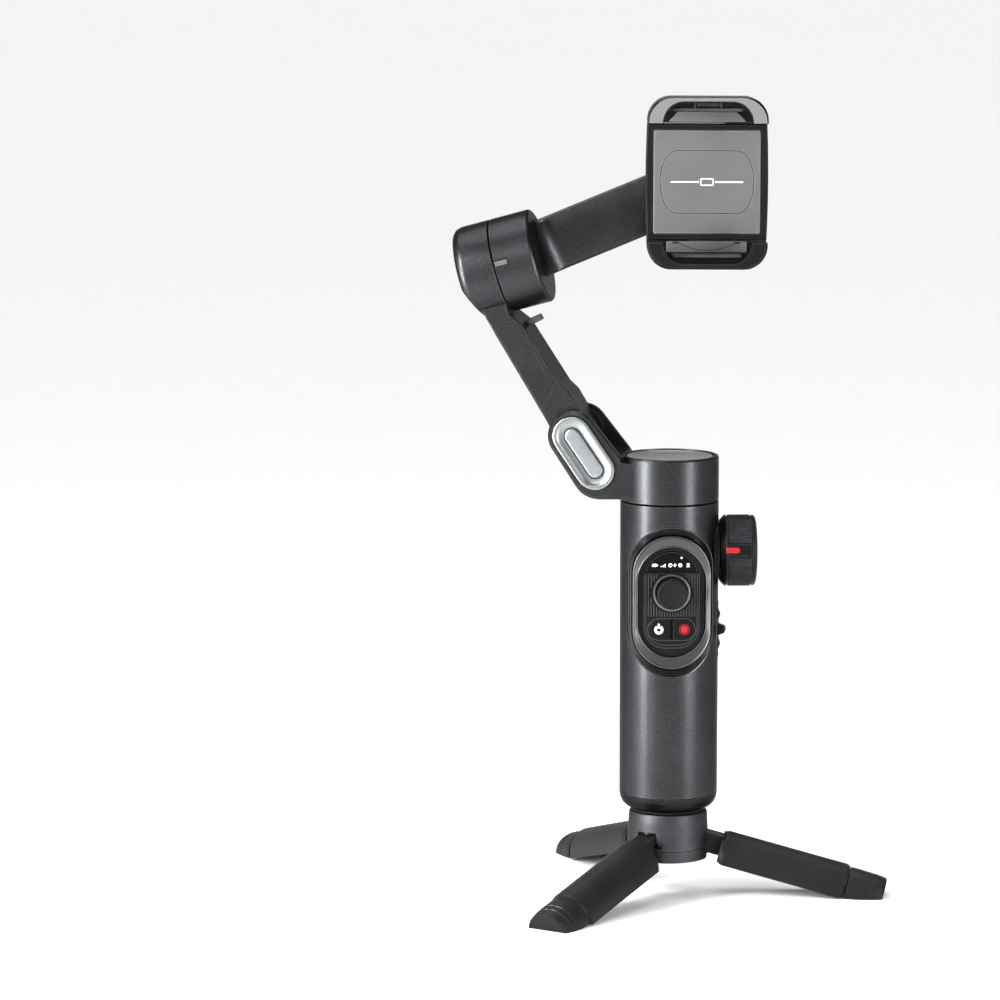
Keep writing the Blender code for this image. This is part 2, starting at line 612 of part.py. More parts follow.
def build_arm2(fold, cap_at, cap_turn):
    tilt = frame("tilt_frame", cap_at, fold, cap_turn)
    arm = turned("arm2_shell",
                 [(0.0, SEAM_HALF), (TILT_R - 0.3, SEAM_HALF), (TILT_R, SEAM_HALF + 0.3),
                  (TILT_R, TILT_ROTOR_LENGTH - 1.2), (TILT_R - 0.4, TILT_ROTOR_LENGTH - 0.4),
                  (TILT_R - 1.2, TILT_ROTOR_LENGTH), (0.0, TILT_ROTOR_LENGTH)],
                 tilt, GRAPHITE, axis="X")
    strip = frame("strip_frame", (0, ARM2_OFFSET_Y, 0), tilt, (0, -ARM2_DEG, ARM2_YAW_DEG))
    end = (ARM2_LENGTH, 0, 0)
    face = TILT_ROTOR_LENGTH - 0.8
    fillet = arc(face + ARM2_FILLET_R, ARM2_FRONT - ARM2_FILLET_R, ARM2_FILLET_R, 180, 90, 14)
    plan = ([(12.0, ARM2_FRONT - ARM2_FILLET_R)] + fillet
            + [(ARM2_LENGTH + 8.0, ARM2_FRONT), (ARM2_LENGTH + 8.0, ARM2_BACK), (26.0, ARM2_BACK),
               (20.0, 15.4), (12.0, 13.6)])
    combine(arm, prism("add_strip", plan, -ARM2_HALF_WIDTH, ARM2_HALF_WIDTH, strip, edge=0.7,
                       axis="Z"), "UNION")
    combine(arm, turned("add_roll_housing",
                        [(0.0, ARM2_FRONT + 0.5), (ROLL_R - 0.5, ARM2_FRONT + 0.5),
                         (ROLL_R, ARM2_FRONT + 1.0), (ROLL_R, ROLL_BACK - 0.3),
                         (ROLL_R - 0.3, ROLL_BACK), (0.0, ROLL_BACK)],
                        strip, axis="Y", location=end), "UNION")
    combine(arm, rod("cut_roll_bore", PAN_SHAFT_R + GAP, 5.0, 18.3, strip, axis="Y",
                     location=end))
    combine(arm, rod("cut_tilt_rotor_bore", PAN_SHAFT_R + GAP, -2.0, 11.3, tilt, axis="X"))
    cover = rounded_box(31.0, 68.0, -9.2, 9.2, 1.2, 4)
    combine(arm, prism("cut_strip_pocket", inset(cover, -GAP), 5.0, ARM2_FRONT + 1.3, strip))
    prism("arm2_cover", cover, ARM2_FRONT - 0.05, ARM2_FRONT + 1.0, strip, DARK_GRAPHITE,
          edge=0.2)
    rod("tilt_shaft", PAN_SHAFT_R, -11.0, 11.0, tilt, STEEL, axis="X", chamfer=0.4)
    turned("roll_motor_cover",
           [(0.0, ROLL_BACK + GAP), (ROLL_R - 0.2, ROLL_BACK + GAP), (ROLL_R, 20.9),
            (ROLL_R - 0.3, 22.2), (ROLL_R - 1.6, 23.6), (ROLL_R - 4.5, 24.6),
            (0.0, ROLL_COVER_BACK)],
           strip, DARK_GRAPHITE, axis="Y", location=end)
    return strip


# ---------------------------------------------------------------- clamp

def clamp_outline():
    side = []
    steps = 12
    for i in range(steps + 1):
        t = 2.0 * i / steps - 1.0
        side.append((CLAMP_HALF_WIDTH + CLAMP_BULGE * (1.0 - t * t), t * CLAMP_HALF_HEIGHT))
    return side + [(-x, -z) for x, z in side]


def pinion_outline():
    """Gear outline with involute flanks, a tooth centred on the +X direction."""
    pitch_r = RACK_MODULE * PINION_TEETH / 2.0
    base_r = pitch_r * math.cos(math.radians(PRESSURE_ANGLE_DEG))
    tip_r = pitch_r + TOOTH_HEIGHT
    root_r = pitch_r - TOOTH_DEPTH

    def roll(radius):
        t = math.sqrt(max(radius * radius / (base_r * base_r) - 1.0, 0.0))
        return t - math.atan(t)

    half_tooth = math.pi / (2.0 * PINION_TEETH) - BACKLASH / pitch_r / 2.0 + roll(pitch_r)
    radii = [base_r + (tip_r - base_r) * i / 3.0 for i in range(4)]
    points = []
    for tooth in range(PINION_TEETH):
        centre = 2.0 * math.pi * tooth / PINION_TEETH
        rising = [(root_r, centre - half_tooth)]
        rising += [(r, centre - half_tooth + roll(r)) for r in radii]
        falling = [(r, 2.0 * centre - a) for r, a in reversed(rising)]
        points += [(r * math.cos(a), r * math.sin(a)) for r, a in rising + falling]
    return points


def rack_outline(low, high):
    """Straight rack on the +X side of the pinion, a space centred on z = 0."""
    pitch_x = RACK_MODULE * PINION_TEETH / 2.0
    pitch = math.pi * RACK_MODULE
    slope = math.tan(math.radians(PRESSURE_ANGLE_DEG))
    half = pitch / 4.0 - BACKLASH / 2.0
    tip_x = pitch_x - TOOTH_HEIGHT
    root_x = pitch_x + TOOTH_DEPTH
    tip_half = half - TOOTH_HEIGHT * slope
    root_half = half + TOOTH_DEPTH * slope
    teeth = []
    index = math.ceil((low + root_half) / pitch - 0.5)
    while (index + 0.5) * pitch + root_half < high:
        z = (index + 0.5) * pitch
        teeth += [(root_x, z - root_half), (tip_x, z - tip_half), (tip_x, z + tip_half),
                  (root_x, z + root_half)]
        index += 1
    return teeth


def jaw_outline(wall=0.0, low=JAW_Z0, top_wall=None, radius=None):
    """Front outline of the upper jaw, or its hollow when a wall is taken off."""
    half = CLAMP_HALF_WIDTH - wall
    radius = JAW_CORNER_R - 0.6 * wall if radius is None else radius
    top = JAW_Z1 - (wall if top_wall is None else top_wall)
    return ([(-half, low), (half, low)]
            + arc(half - radius, top - radius, radius, 0, 90, 14)
            + arc(-half + radius, top - radius, radius, 90, 180, 14))


def build_jaw(name, roll, mirror):
    """Jaw with its lip, its pad and the toothed tongue that runs in the clamp frame."""
    turn = (0, 180.0 * mirror, 0)
    slide = frame(name + "_frame", (0, 0, 0), roll)
    jaw = prism(name, jaw_outline(), JAW_FRONT, CLAMP_BACK, slide, GRAPHITE, edge=0.9,
                turn=turn)
    hollow = jaw_outline(JAW_WALL, JAW_Z0 - 6.0)
    mouth = jaw_outline(JAW_LIP, JAW_Z0 - 6.0, JAW_LIP_TOP, JAW_MOUTH_R)
    steps = ((hollow, CLAMP_FRONT - 0.2), (hollow, JAW_LIP_Y), (mouth, JAW_LIP_Y - 0.4),
             (mouth, JAW_FRONT - 3.0))
    combine(jaw, loft("cut_" + name + "_hollow", [place(o, y, "Y") for o, y in steps], slide,
                      turn=turn))
    combine(jaw, block("cut_" + name + "_phone_slot", (-30.0, JAW_LIP_Y, JAW_Z0 - 6.0),
                       (30.0, CLAMP_FRONT - 0.2, JAW_PAD_Z), slide, turn=turn))
    teeth = rack_outline(-21.6, 4.0)
    tongue = ([(20.8, -21.7), (20.8, 27.0), (teeth[0][0], 27.0)]
              + list(reversed(teeth)) + [(teeth[0][0], -21.7)])
    combine(jaw, prism("add_" + name + "_tongue", tongue, -1.2, 3.0, slide, turn=turn),
            "UNION")
    pad = rounded_box(-14.0, 14.0, JAW_PAD_Z, JAW_Z1 - JAW_WALL - GAP, 0.7, 4)
    prism(name + "_pad", pad, JAW_LIP_Y + GAP, CLAMP_FRONT - 0.6, slide, RUBBER, edge=0.3,
          turn=turn)


def build_clamp(strip):
    level = TILT_AXIS_DEG + ARM2_DEG
    roll = frame("roll_frame", (ARM2_LENGTH, 0, 0), strip, (0, level, 0))
    outline = clamp_outline()
    body = prism("clamp_frame", outline, CLAMP_FRONT, CLAMP_BACK, roll, GRAPHITE, edge=0.5)
    half_w, half_h = CLAMP_CAVITY
    combine(body, block("cut_clamp_cavity", (-half_w, -1.6, -half_h),
                        (half_w, CLAMP_BACK_WALL, half_h), roll))
    combine(body, block("cut_plate_seat", (-half_w - 0.3, -6.0, -21.2),
                        (half_w + 0.3, -1.5, 21.2), roll))
    combine(body, block("cut_upper_slot", (5.2, -1.5, 18.0), (21.1, 3.3, 26.0), roll))
    combine(body, block("cut_lower_slot", (-21.1, -1.5, -26.0), (-5.2, 3.3, -18.0), roll))
    prism("clamp_face_plate", rounded_box(-21.6, 21.6, -20.9, 20.9, 0.6, 3), CLAMP_FRONT - 0.3,
          -1.8, roll, GREY_PLATE, edge=0.3)
    turned("roll_rotor",
           [(0.0, CLAMP_BACK + GAP), (15.0, CLAMP_BACK + GAP), (15.0, 7.5), (PAN_SHAFT_R, 7.6),
            (PAN_SHAFT_R, 17.6), (PAN_SHAFT_R - 0.4, 18.0), (0.0, 18.0)],
           roll, STEEL, axis="Y")
    spin = frame("pinion_frame", (0, 0, 0), roll)
    prism("pinion", pinion_outline(), -1.2, 3.0, spin, STEEL)
    build_jaw("upper_jaw", roll, 0)
    build_jaw("lower_jaw", roll, 1)


# ---------------------------------------------------------------- tripod

def leg_profile(width, thickness, drop=0.0):
    """Half-round section, flat side down: (across, up) points."""
    points = [(-width, -thickness), (width, -thickness)]
    for i in range(17):
        angle = math.radians(180.0 * i / 16)
        lift = 2.0 * thickness - 1.6 - drop
        points.append((width * math.cos(angle), -thickness + 1.6 + lift * math.sin(angle)))
    return points


def build_tripod(root):
    turned("tripod_washer",
           [(3.6, 34.9), (15.0, 34.9), (15.3, 35.2), (15.0, 35.7), (3.6, 35.7)],
           root, RUBBER, steps=32)
    upper = turned("tripod_hub_upper",
                   [(0.0, HUB_SEAM_Z), (HUB_R, HUB_SEAM_Z), (HUB_R - 0.1, 22.0),
                    (HUB_TOP_R, HUB_Z1 - 0.8), (HUB_TOP_R - 0.8, HUB_Z1), (0.0, HUB_Z1)],
                   root, BLACK_PLASTIC)
    combine(upper, rod("cut_screw_bore", 3.5, 24.0, 38.0, root))
    lower = turned("tripod_hub_lower",
                   [(0.0, HUB_Z0), (HUB_R - 0.4, HUB_Z0), (HUB_R, HUB_Z0 + 0.5),
                    (HUB_R, HUB_SEAM_Z - GAP), (0.0, HUB_SEAM_Z - GAP)],
                   root, BLACK_PLASTIC)
    rod("tripod_screw", 3.1, 24.3, 41.0, root, STEEL, chamfer=0.4)
    for number, azimuth in enumerate(LEG_AZIMUTHS_DEG, 1):
        tag = str(number)
        around = frame("leg_azimuth_" + tag, (0, 0, 0), root, (0, 0, azimuth))
        slot = ((9.6, -TONGUE_HALF_WIDTH - GAP, HUB_Z0 - 3.0),
                (24.0, TONGUE_HALF_WIDTH + GAP, LEG_PIN[1] + TONGUE_R + 0.6))
        combine(upper, block("cut_upper_leg_slot_" + tag, *slot, around))
        combine(lower, block("cut_lower_leg_slot_" + tag, *slot, around))
        combine(upper, rod("cut_pin_hole_" + tag, LEG_PIN_R + GAP, -7.3, 7.3, around,
                           axis="Y", location=(LEG_PIN[0], 0, LEG_PIN[1])))
        rod("leg_pin_" + tag, LEG_PIN_R, -7.0, 7.0, around, STEEL, axis="Y",
            location=(LEG_PIN[0], 0, LEG_PIN[1]))
        hinge = frame("leg_frame_" + tag, (LEG_PIN[0], 0, LEG_PIN[1]), around,
                      (0, LEG_SLOPE_DEG, 0))
        body = leg_profile(LEG_HALF_WIDTH, LEG_HALF_THICKNESS)
        neck = leg_profile(LEG_HALF_WIDTH - 1.2, LEG_HALF_THICKNESS - 0.7)
        loops = [place(neck, LEG_START, "X"), place(body, LEG_START + 2.0, "X"),
                 place(body, LEG_STEP - 1.5, "X"), place(neck, LEG_STEP, "X")]
        leg = loft("leg_" + tag, loops, hinge, BLACK_PLASTIC)
        tongue = ([(LEG_START + 2.0, -TONGUE_R), (LEG_START + 2.0, TONGUE_R)]
                  + arc(0.0, 0.0, TONGUE_R, 90, 270, 16))
        combine(leg, prism("add_tongue_" + tag, tongue, -TONGUE_HALF_WIDTH, TONGUE_HALF_WIDTH,
                           hinge), "UNION")
        combine(leg, rod("cut_tongue_bore_" + tag, LEG_PIN_R + GAP, -6, 6, hinge, axis="Y"))
        foot = leg_profile(LEG_HALF_WIDTH - 0.3, LEG_HALF_THICKNESS - 0.3, 1.2)
        foot_tip = leg_profile(LEG_HALF_WIDTH - 1.1, LEG_HALF_THICKNESS - 1.0, 1.2)
        loops = [place(foot, LEG_STEP + GAP, "X"), place(foot, LEG_END - 1.2, "X"),
                 place(foot_tip, LEG_END, "X")]
        pad = loft("foot_pad_" + tag, loops, hinge, RUBBER)
        ground = block("cut_ground_" + tag, (40, -20, -30), (120, 20, 0), around)
        combine(pad, ground)


# ---------------------------------------------------------------- assembly

for old in list(bpy.data.objects):
    bpy.data.objects.remove(old, do_unlink=True)

base = frame("base_frame", (0, 0, 0))
build_handle(base)
pan_frame = build_pan(base)
fold_frame, tilt_at, tilt_turn = build_arm1(pan_frame)
strip_frame = build_arm2(fold_frame, tilt_at, tilt_turn)
build_clamp(strip_frame)
build_tripod(base)
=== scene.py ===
"""Looks of the folding phone gimbal: finishes, detailed visible pieces, light and camera.

Local shapes are written in millimetres in the frame of the joint or part they belong to,
with -Y facing the user, and become metres in the shared frame when their mesh is made.
"""
import json
import math

import bmesh
import bpy
from mathutils import Matrix, Vector


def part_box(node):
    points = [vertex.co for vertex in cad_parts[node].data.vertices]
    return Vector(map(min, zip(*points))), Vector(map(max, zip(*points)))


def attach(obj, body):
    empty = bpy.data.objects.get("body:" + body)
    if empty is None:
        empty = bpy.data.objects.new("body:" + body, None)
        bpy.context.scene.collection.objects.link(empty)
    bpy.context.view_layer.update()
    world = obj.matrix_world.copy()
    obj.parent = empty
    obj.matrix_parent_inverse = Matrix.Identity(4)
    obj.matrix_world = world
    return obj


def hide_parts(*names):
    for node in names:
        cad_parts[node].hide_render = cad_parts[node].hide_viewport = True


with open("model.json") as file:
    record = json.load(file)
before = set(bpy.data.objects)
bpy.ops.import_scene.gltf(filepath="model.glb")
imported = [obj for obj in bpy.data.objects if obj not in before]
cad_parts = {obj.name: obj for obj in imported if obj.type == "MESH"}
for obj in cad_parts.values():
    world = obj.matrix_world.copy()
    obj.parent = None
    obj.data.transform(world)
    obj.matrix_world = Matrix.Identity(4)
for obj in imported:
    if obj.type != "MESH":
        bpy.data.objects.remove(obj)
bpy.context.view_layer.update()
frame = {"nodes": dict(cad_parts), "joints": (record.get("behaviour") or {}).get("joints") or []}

MM = 0.001
NODES = frame["nodes"]
JOINTS = {j["name"]: j for j in frame["joints"]}


# ---------------------------------------------------------------- node helpers

def add_node(tree, kind, **inputs):
    node = tree.nodes.new(kind)
    for name, value in inputs.items():
        node.inputs[name.replace("_", " ")].default_value = value
    return node


def noise(tree, vector, scale, detail=3.0, roughness=0.55):
    node = add_node(tree, "ShaderNodeTexNoise", Scale=scale, Detail=detail, Roughness=roughness)
    tree.links.new(vector, node.inputs["Vector"])
    return node.outputs["Fac"]


def spread(tree, value, low, high, from_low=0.3, from_high=0.7):
    """Maps a noise value onto a range of numbers."""
    node = add_node(tree, "ShaderNodeMapRange")
    node.inputs["From Min"].default_value = from_low
    node.inputs["From Max"].default_value = from_high
    node.inputs["To Min"].default_value = low
    node.inputs["To Max"].default_value = high
    tree.links.new(value, node.inputs["Value"])
    return node.outputs["Result"]


def mix_colour(tree, factor, first, second):
    node = tree.nodes.new("ShaderNodeMix")
    node.data_type = "RGBA"
    tree.links.new(factor, node.inputs[0])
    for socket, colour in ((6, first), (7, second)):
        if isinstance(colour, tuple):
            node.inputs[socket].default_value = (*colour, 1.0)
        else:
            tree.links.new(colour, node.inputs[socket])
    return node.outputs[2]


def stretched(tree, scale):
    """Object coordinates scaled apart per axis, for brushed and grained finishes."""
    coords = tree.nodes.new("ShaderNodeTexCoord")
    mapping = add_node(tree, "ShaderNodeMapping")
    mapping.inputs["Scale"].default_value = scale
    tree.links.new(coords.outputs["Object"], mapping.inputs["Vector"])
    return mapping.outputs["Vector"]


def edge_mask(tree, radius, low=0.012, high=0.08):
    """Near 1 along convex edges, where handling polishes a finish."""
    bevel = add_node(tree, "ShaderNodeBevel", Radius=radius)
    bevel.samples = 4
    geometry = tree.nodes.new("ShaderNodeNewGeometry")
    dot = tree.nodes.new("ShaderNodeVectorMath")
    dot.operation = "DOT_PRODUCT"
    tree.links.new(bevel.outputs["Normal"], dot.inputs[0])
    tree.links.new(geometry.outputs["Normal"], dot.inputs[1])
    node = add_node(tree, "ShaderNodeMapRange")
    node.inputs["From Min"].default_value = 1.0 - low
    node.inputs["From Max"].default_value = 1.0 - high
    tree.links.new(dot.outputs["Value"], node.inputs["Value"])
    return node.outputs["Result"]


def finish(name, colour, variation, metallic, roughness, grain, bump, wear=None, specular=0.5,
           coat=0.0, stretch=(1.0, 1.0, 1.0), speckle=None):
    """Procedural finish: base colour with slow variation, a fine grain in colour, roughness
    and bump, an optional bright speckle, and edges worn towards another colour."""
    material = bpy.data.materials.new(name)
    material.use_nodes = True
    tree = material.node_tree
    shader = tree.nodes["Principled BSDF"]
    vector = stretched(tree, stretch)
    slow = noise(tree, vector, 55.0, 2.0)
    fine = noise(tree, vector, grain, 3.0, 0.6)
    darker = tuple(c * (1.0 - variation) for c in colour)
    lighter = tuple(min(c * (1.0 + variation), 1.0) for c in colour)
    tint = mix_colour(tree, spread(tree, slow, 0.0, 1.0), darker, lighter)
    grain_dark = tuple(c * (1.0 - 1.6 * variation) for c in colour)
    tint = mix_colour(tree, spread(tree, fine, 0.55, 0.0, 0.35, 0.6), tint, grain_dark)
    if speckle is not None:
        flakes = add_node(tree, "ShaderNodeTexVoronoi", Scale=speckle[0])
        tree.links.new(vector, flakes.inputs["Vector"])
        strength = spread(tree, flakes.outputs["Distance"], speckle[1], 0.0, 0.02, 0.32)
        bright = tuple(min(c * 3.2 + 0.02, 1.0) for c in colour)
        tint = mix_colour(tree, strength, tint, bright)
    rough = spread(tree, fine, roughness[0], roughness[1])
    if wear is not None:
        mask = edge_mask(tree, 0.0004)
        blotch = spread(tree, noise(tree, vector, 400.0, 3.0), 0.35, 1.0)
        worn = tree.nodes.new("ShaderNodeMath")
        worn.operation = "MULTIPLY"
        tree.links.new(mask, worn.inputs[0])
        tree.links.new(blotch, worn.inputs[1])
        tint = mix_colour(tree, worn.outputs[0], tint, wear)
    tree.links.new(tint, shader.inputs["Base Color"])
    tree.links.new(rough, shader.inputs["Roughness"])
    shader.inputs["Metallic"].default_value = metallic
    shader.inputs["Specular IOR Level"].default_value = specular
    shader.inputs["Specular Tint"].default_value = (0.45, 0.45, 0.45, 1.0)
    if coat > 0.0:
        shader.inputs["Coat Weight"].default_value = coat
        shader.inputs["Coat Roughness"].default_value = 0.12
    relief = add_node(tree, "ShaderNodeBump", Strength=bump, Distance=0.0002)
    tree.links.new(fine, relief.inputs["Height"])
    tree.links.new(relief.outputs["Normal"], shader.inputs["Normal"])
    return material


def brushed(name, colour, stretch, roughness, bump=0.06, variation=0.07):
    return finish(name, colour, variation, 1.0, roughness, 900.0, bump, stretch=stretch)


GRAPHITE = finish("satin_graphite", (0.032, 0.033, 0.035), 0.16, 0.92, (0.29, 0.37), 2200.0,
                  0.14, wear=(0.12, 0.12, 0.125), specular=0.3, speckle=(1500.0, 0.5))
DARK_GRAPHITE = finish("dark_graphite", (0.017, 0.0175, 0.019), 0.12, 0.9, (0.32, 0.4), 2600.0,
                       0.12, wear=(0.08, 0.08, 0.085), specular=0.3, speckle=(2300.0, 0.2))
LEG_PLASTIC = finish("leg_plastic", (0.0105, 0.0105, 0.0115), 0.2, 0.0, (0.38, 0.5), 1900.0,
                     0.2, wear=(0.03, 0.03, 0.033), specular=0.16)
HUB_PLASTIC = finish("hub_plastic", (0.044, 0.045, 0.048), 0.14, 0.9, (0.44, 0.52), 2200.0,
                     0.14, wear=(0.1, 0.1, 0.105), specular=0.3, speckle=(2300.0, 0.2))
BLACK_PLASTIC = finish("black_plastic", (0.003, 0.003, 0.0035), 0.2, 0.0, (0.36, 0.5), 2400.0,
                       0.3, wear=(0.02, 0.02, 0.022), specular=0.18)
PANEL_PLASTIC = finish("panel_plastic", (0.005, 0.005, 0.0055), 0.2, 0.2, (0.34, 0.46), 2400.0,
                       0.25, wear=(0.045, 0.045, 0.05), specular=0.25)
GLOSS_BLACK = finish("gloss_black", (0.002, 0.002, 0.003), 0.25, 0.0, (0.1, 0.16), 700.0,
                     0.02, specular=0.2)
GREY_PLATE = finish("grey_plate", (0.082, 0.082, 0.083), 0.05, 0.0, (0.5, 0.62), 2100.0, 0.25,
                    wear=(0.2, 0.2, 0.2), specular=0.2)
RUBBER = finish("rubber", (0.009, 0.009, 0.01), 0.22, 0.0, (0.55, 0.7), 1300.0, 0.4,
                specular=0.25)
PAD_RUBBER = finish("pad_rubber", (0.034, 0.034, 0.036), 0.2, 0.0, (0.6, 0.76), 1300.0, 0.4,
                    specular=0.25)
SILVER = brushed("silver", (0.25, 0.26, 0.262), (1.0, 1.0, 1.0), (0.3, 0.36), 0.01, 0.03)
SILVER_GRAIN = finish("silver_grain", (0.26, 0.27, 0.28), 0.16, 1.0, (0.34, 0.46), 1900.0, 0.2)
GUNMETAL = brushed("gunmetal", (0.07, 0.07, 0.074), (1.0, 1.0, 1.0), (0.34, 0.4), 0.01, 0.03)
STEEL = brushed("steel", (0.5, 0.5, 0.52), (1.0, 1.0, 8.0), (0.28, 0.4))
BRASS = brushed("brass", (0.62, 0.42, 0.16), (1.0, 1.0, 8.0), (0.28, 0.4))
CASTING = finish("casting", (0.1, 0.1, 0.1), 0.2, 0.8, (0.5, 0.65), 1200.0, 0.3)
RED = finish("red_plastic", (0.3, 0.01, 0.015), 0.1, 0.0, (0.3, 0.42), 1600.0, 0.1,
             specular=0.3)
WHITE_MARK = finish("white_mark", (0.7, 0.7, 0.7), 0.05, 0.0, (0.4, 0.55), 1800.0, 0.1)
GREY_MARK = finish("grey_mark", (0.3, 0.3, 0.31), 0.08, 0.0, (0.4, 0.55), 1800.0, 0.1)
NOTCH_GREY = finish("notch_grey", (0.07, 0.07, 0.072), 0.1, 0.0, (0.45, 0.6), 1800.0, 0.1,
                    specular=0.25)
LIP_GREY = finish("lip_grey", (0.13, 0.13, 0.133), 0.06, 0.15, (0.42, 0.55), 2400.0, 0.12,
                  wear=(0.3, 0.3, 0.3), specular=0.25)
EDGE_METAL = brushed("edge_metal", (0.13, 0.13, 0.137), (1.0, 1.0, 1.0), (0.26, 0.36))
PANEL_LINES = finish("panel_lines", (0.05, 0.05, 0.053), 0.15, 0.5, (0.28, 0.4), 1800.0, 0.1,
                     specular=0.3)
STICK_RUBBER = finish("stick_rubber", (0.006, 0.006, 0.0065), 0.3, 0.0, (0.5, 0.68), 2600.0, 0.7,
                      specular=0.25)
KNOB_PLASTIC = finish("knob_plastic", (0.005, 0.005, 0.006), 0.18, 0.1, (0.4, 0.5), 2200.0,
                      0.2, wear=(0.05, 0.05, 0.055), specular=0.16)
TOP_METAL = brushed("top_metal", (0.62, 0.63, 0.64), (1.0, 6.0, 1.0), (0.26, 0.4))
BOARD = finish("board_lacquer", (0.02, 0.15, 0.07), 0.2, 0.0, (0.3, 0.45), 800.0, 0.2)
CELL = finish("cell_wrap", (0.05, 0.16, 0.4), 0.08, 0.0, (0.25, 0.4), 600.0, 0.1)

FINISHES = {
    "handle_front_shell": GRAPHITE, "handle_rear_shell": GRAPHITE, "pan_housing": GRAPHITE,
    "arm1_shell": GRAPHITE, "arm2_shell": GRAPHITE, "clamp_frame": DARK_GRAPHITE,
    "upper_jaw": GRAPHITE, "lower_jaw": DARK_GRAPHITE,
    "handle_bottom_cap": DARK_GRAPHITE, "arm1_cover": DARK_GRAPHITE,
    "arm2_cover": GRAPHITE, "roll_motor_cover": DARK_GRAPHITE,
    "tripod_hub_upper": HUB_PLASTIC, "tripod_hub_lower": HUB_PLASTIC,
    "leg_1": LEG_PLASTIC, "leg_2": LEG_PLASTIC, "leg_3": LEG_PLASTIC,
    "foot_pad_1": RUBBER, "foot_pad_2": RUBBER, "foot_pad_3": RUBBER,
    "tripod_washer": RUBBER, "upper_jaw_pad": PAD_RUBBER, "lower_jaw_pad": PAD_RUBBER,
    "clamp_face_plate": GREY_PLATE, "panel_surround": GLOSS_BLACK, "panel_bezel": GUNMETAL,
    "panel_face": PANEL_PLASTIC, "display_window": GLOSS_BLACK, "joystick_ring": SILVER,
    "joystick_cap": BLACK_PLASTIC, "power_button": BLACK_PLASTIC,
    "record_button": BLACK_PLASTIC, "knob_boss": BLACK_PLASTIC, "side_knob": BLACK_PLASTIC,
    "knob_face": GREY_PLATE, "knob_red_ring": RED, "knob_pointer": RED,
    "slider_base": BLACK_PLASTIC, "zoom_slider": BLACK_PLASTIC, "slider_mark": RED,
    "pan_top_disc": SILVER, "hinge_release_button": SILVER, "thread_insert": BRASS,
    "leg_pin_1": BLACK_PLASTIC, "leg_pin_2": BLACK_PLASTIC, "leg_pin_3": BLACK_PLASTIC,
    "arm1_cable_clip": EDGE_METAL, "pan_motor_stator": CASTING, "main_board": BOARD, "battery_cell": CELL,
}
for node_name, node in NODES.items():
    node.data.materials.clear()
    node.data.materials.append(FINISHES.get(node_name, STEEL))


# ---------------------------------------------------------------- frames

def local_frame(origin, x=None, y=None, z=None):
    """Frame at an origin from two of its axes."""
    if z is None:
        z = x.cross(y)
    if x is None:
        x = y.cross(z)
    if y is None:
        y = z.cross(x)
    rows = zip(x.normalized(), y.normalized(), z.normalized(), origin)
    return Matrix([list(row) for row in rows] + [(0.0, 0.0, 0.0, 1.0)])


def joint_at(name):
    return Vector(JOINTS[name]["pos_m"])


def joint_axis(name):
    return Vector(JOINTS[name]["axis"])


def middle(node):
    low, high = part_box(node)
    return (low + high) / 2.0


def half_size(node):
    """Half the width and half the height of a node, in millimetres."""
    low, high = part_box(node)
    return (high.x - low.x) / 2.0 / MM, (high.z - low.z) / 2.0 / MM


def front_of(node):
    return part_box(node)[0].y / MM


UP = Vector((0.0, 0.0, 1.0))
PANEL = Matrix.Translation((0.0, 0.0, middle("panel_bezel").z))
STICK = Matrix.Translation((0.0, 0.0, middle("joystick_ring").z))
BUTTONS = Matrix.Translation((0.0, 0.0, middle("power_button").z))
KNOB = Matrix.Translation(joint_at("knob_spin"))
SLIDER_TURN = math.radians(-8.0)
SLIDER = Matrix.Translation((0.0, 0.0, middle("zoom_slider").z)) @ Matrix.Rotation(
    SLIDER_TURN, 4, "Z")
PAN = local_frame(Vector((0.0, 0.0, 0.0)), y=joint_axis("fold"), z=UP)
HINGE = local_frame(joint_at("fold"), y=joint_axis("fold"), z=UP)
TILT = local_frame(joint_at("tilt"), x=joint_axis("tilt"), y=joint_axis("fold"))
STRIP_START = TILT @ Vector((0.0, -4.0 * MM, 0.0))
STRIP = local_frame(STRIP_START, x=joint_at("roll") - STRIP_START, y=joint_axis("roll"))
CLAMP = local_frame(joint_at("roll"), y=joint_axis("roll"), z=joint_axis("upper_jaw_slide"))
CLAMP_DOWN = CLAMP @ Matrix.Rotation(math.pi, 4, "Y")
LEG_SLOPE = math.radians(15.0)
LEG_AZIMUTHS = (-6.5, 113.5, 233.5)


def leg_matrix(number):
    pin = joint_at(f"leg_{number}_fold")
    side = joint_axis(f"leg_{number}_fold")
    outwards = Vector((pin.x, pin.y, 0.0)).normalized()
    slope = outwards * math.cos(LEG_SLOPE) - UP * math.sin(LEG_SLOPE)
    return local_frame(pin, x=slope, y=side)


# ---------------------------------------------------------------- outlines

def arc(cx, cz, radius, start_deg, end_deg, steps):
    points = []
    for i in range(steps + 1):
        angle = math.radians(start_deg + (end_deg - start_deg) * i / steps)
        points.append((cx + radius * math.cos(angle), cz + radius * math.sin(angle)))
    return points


def circle(radius, steps=64, cx=0.0, cz=0.0):
    return arc(cx, cz, radius, 0.0, 360.0 - 360.0 / steps, steps - 1)


def stadium(half_w, half_h, steps=24):
    straight = half_h - half_w
    return (arc(0.0, straight, half_w, 0.0, 180.0, steps)
            + arc(0.0, -straight, half_w, 180.0, 360.0, steps))


def pill(half_w, half_h, steps=24):
    """Stadium lying on its side."""
    straight = half_w - half_h
    return (arc(straight, 0.0, half_h, -90.0, 90.0, steps)
            + arc(-straight, 0.0, half_h, 90.0, 270.0, steps))


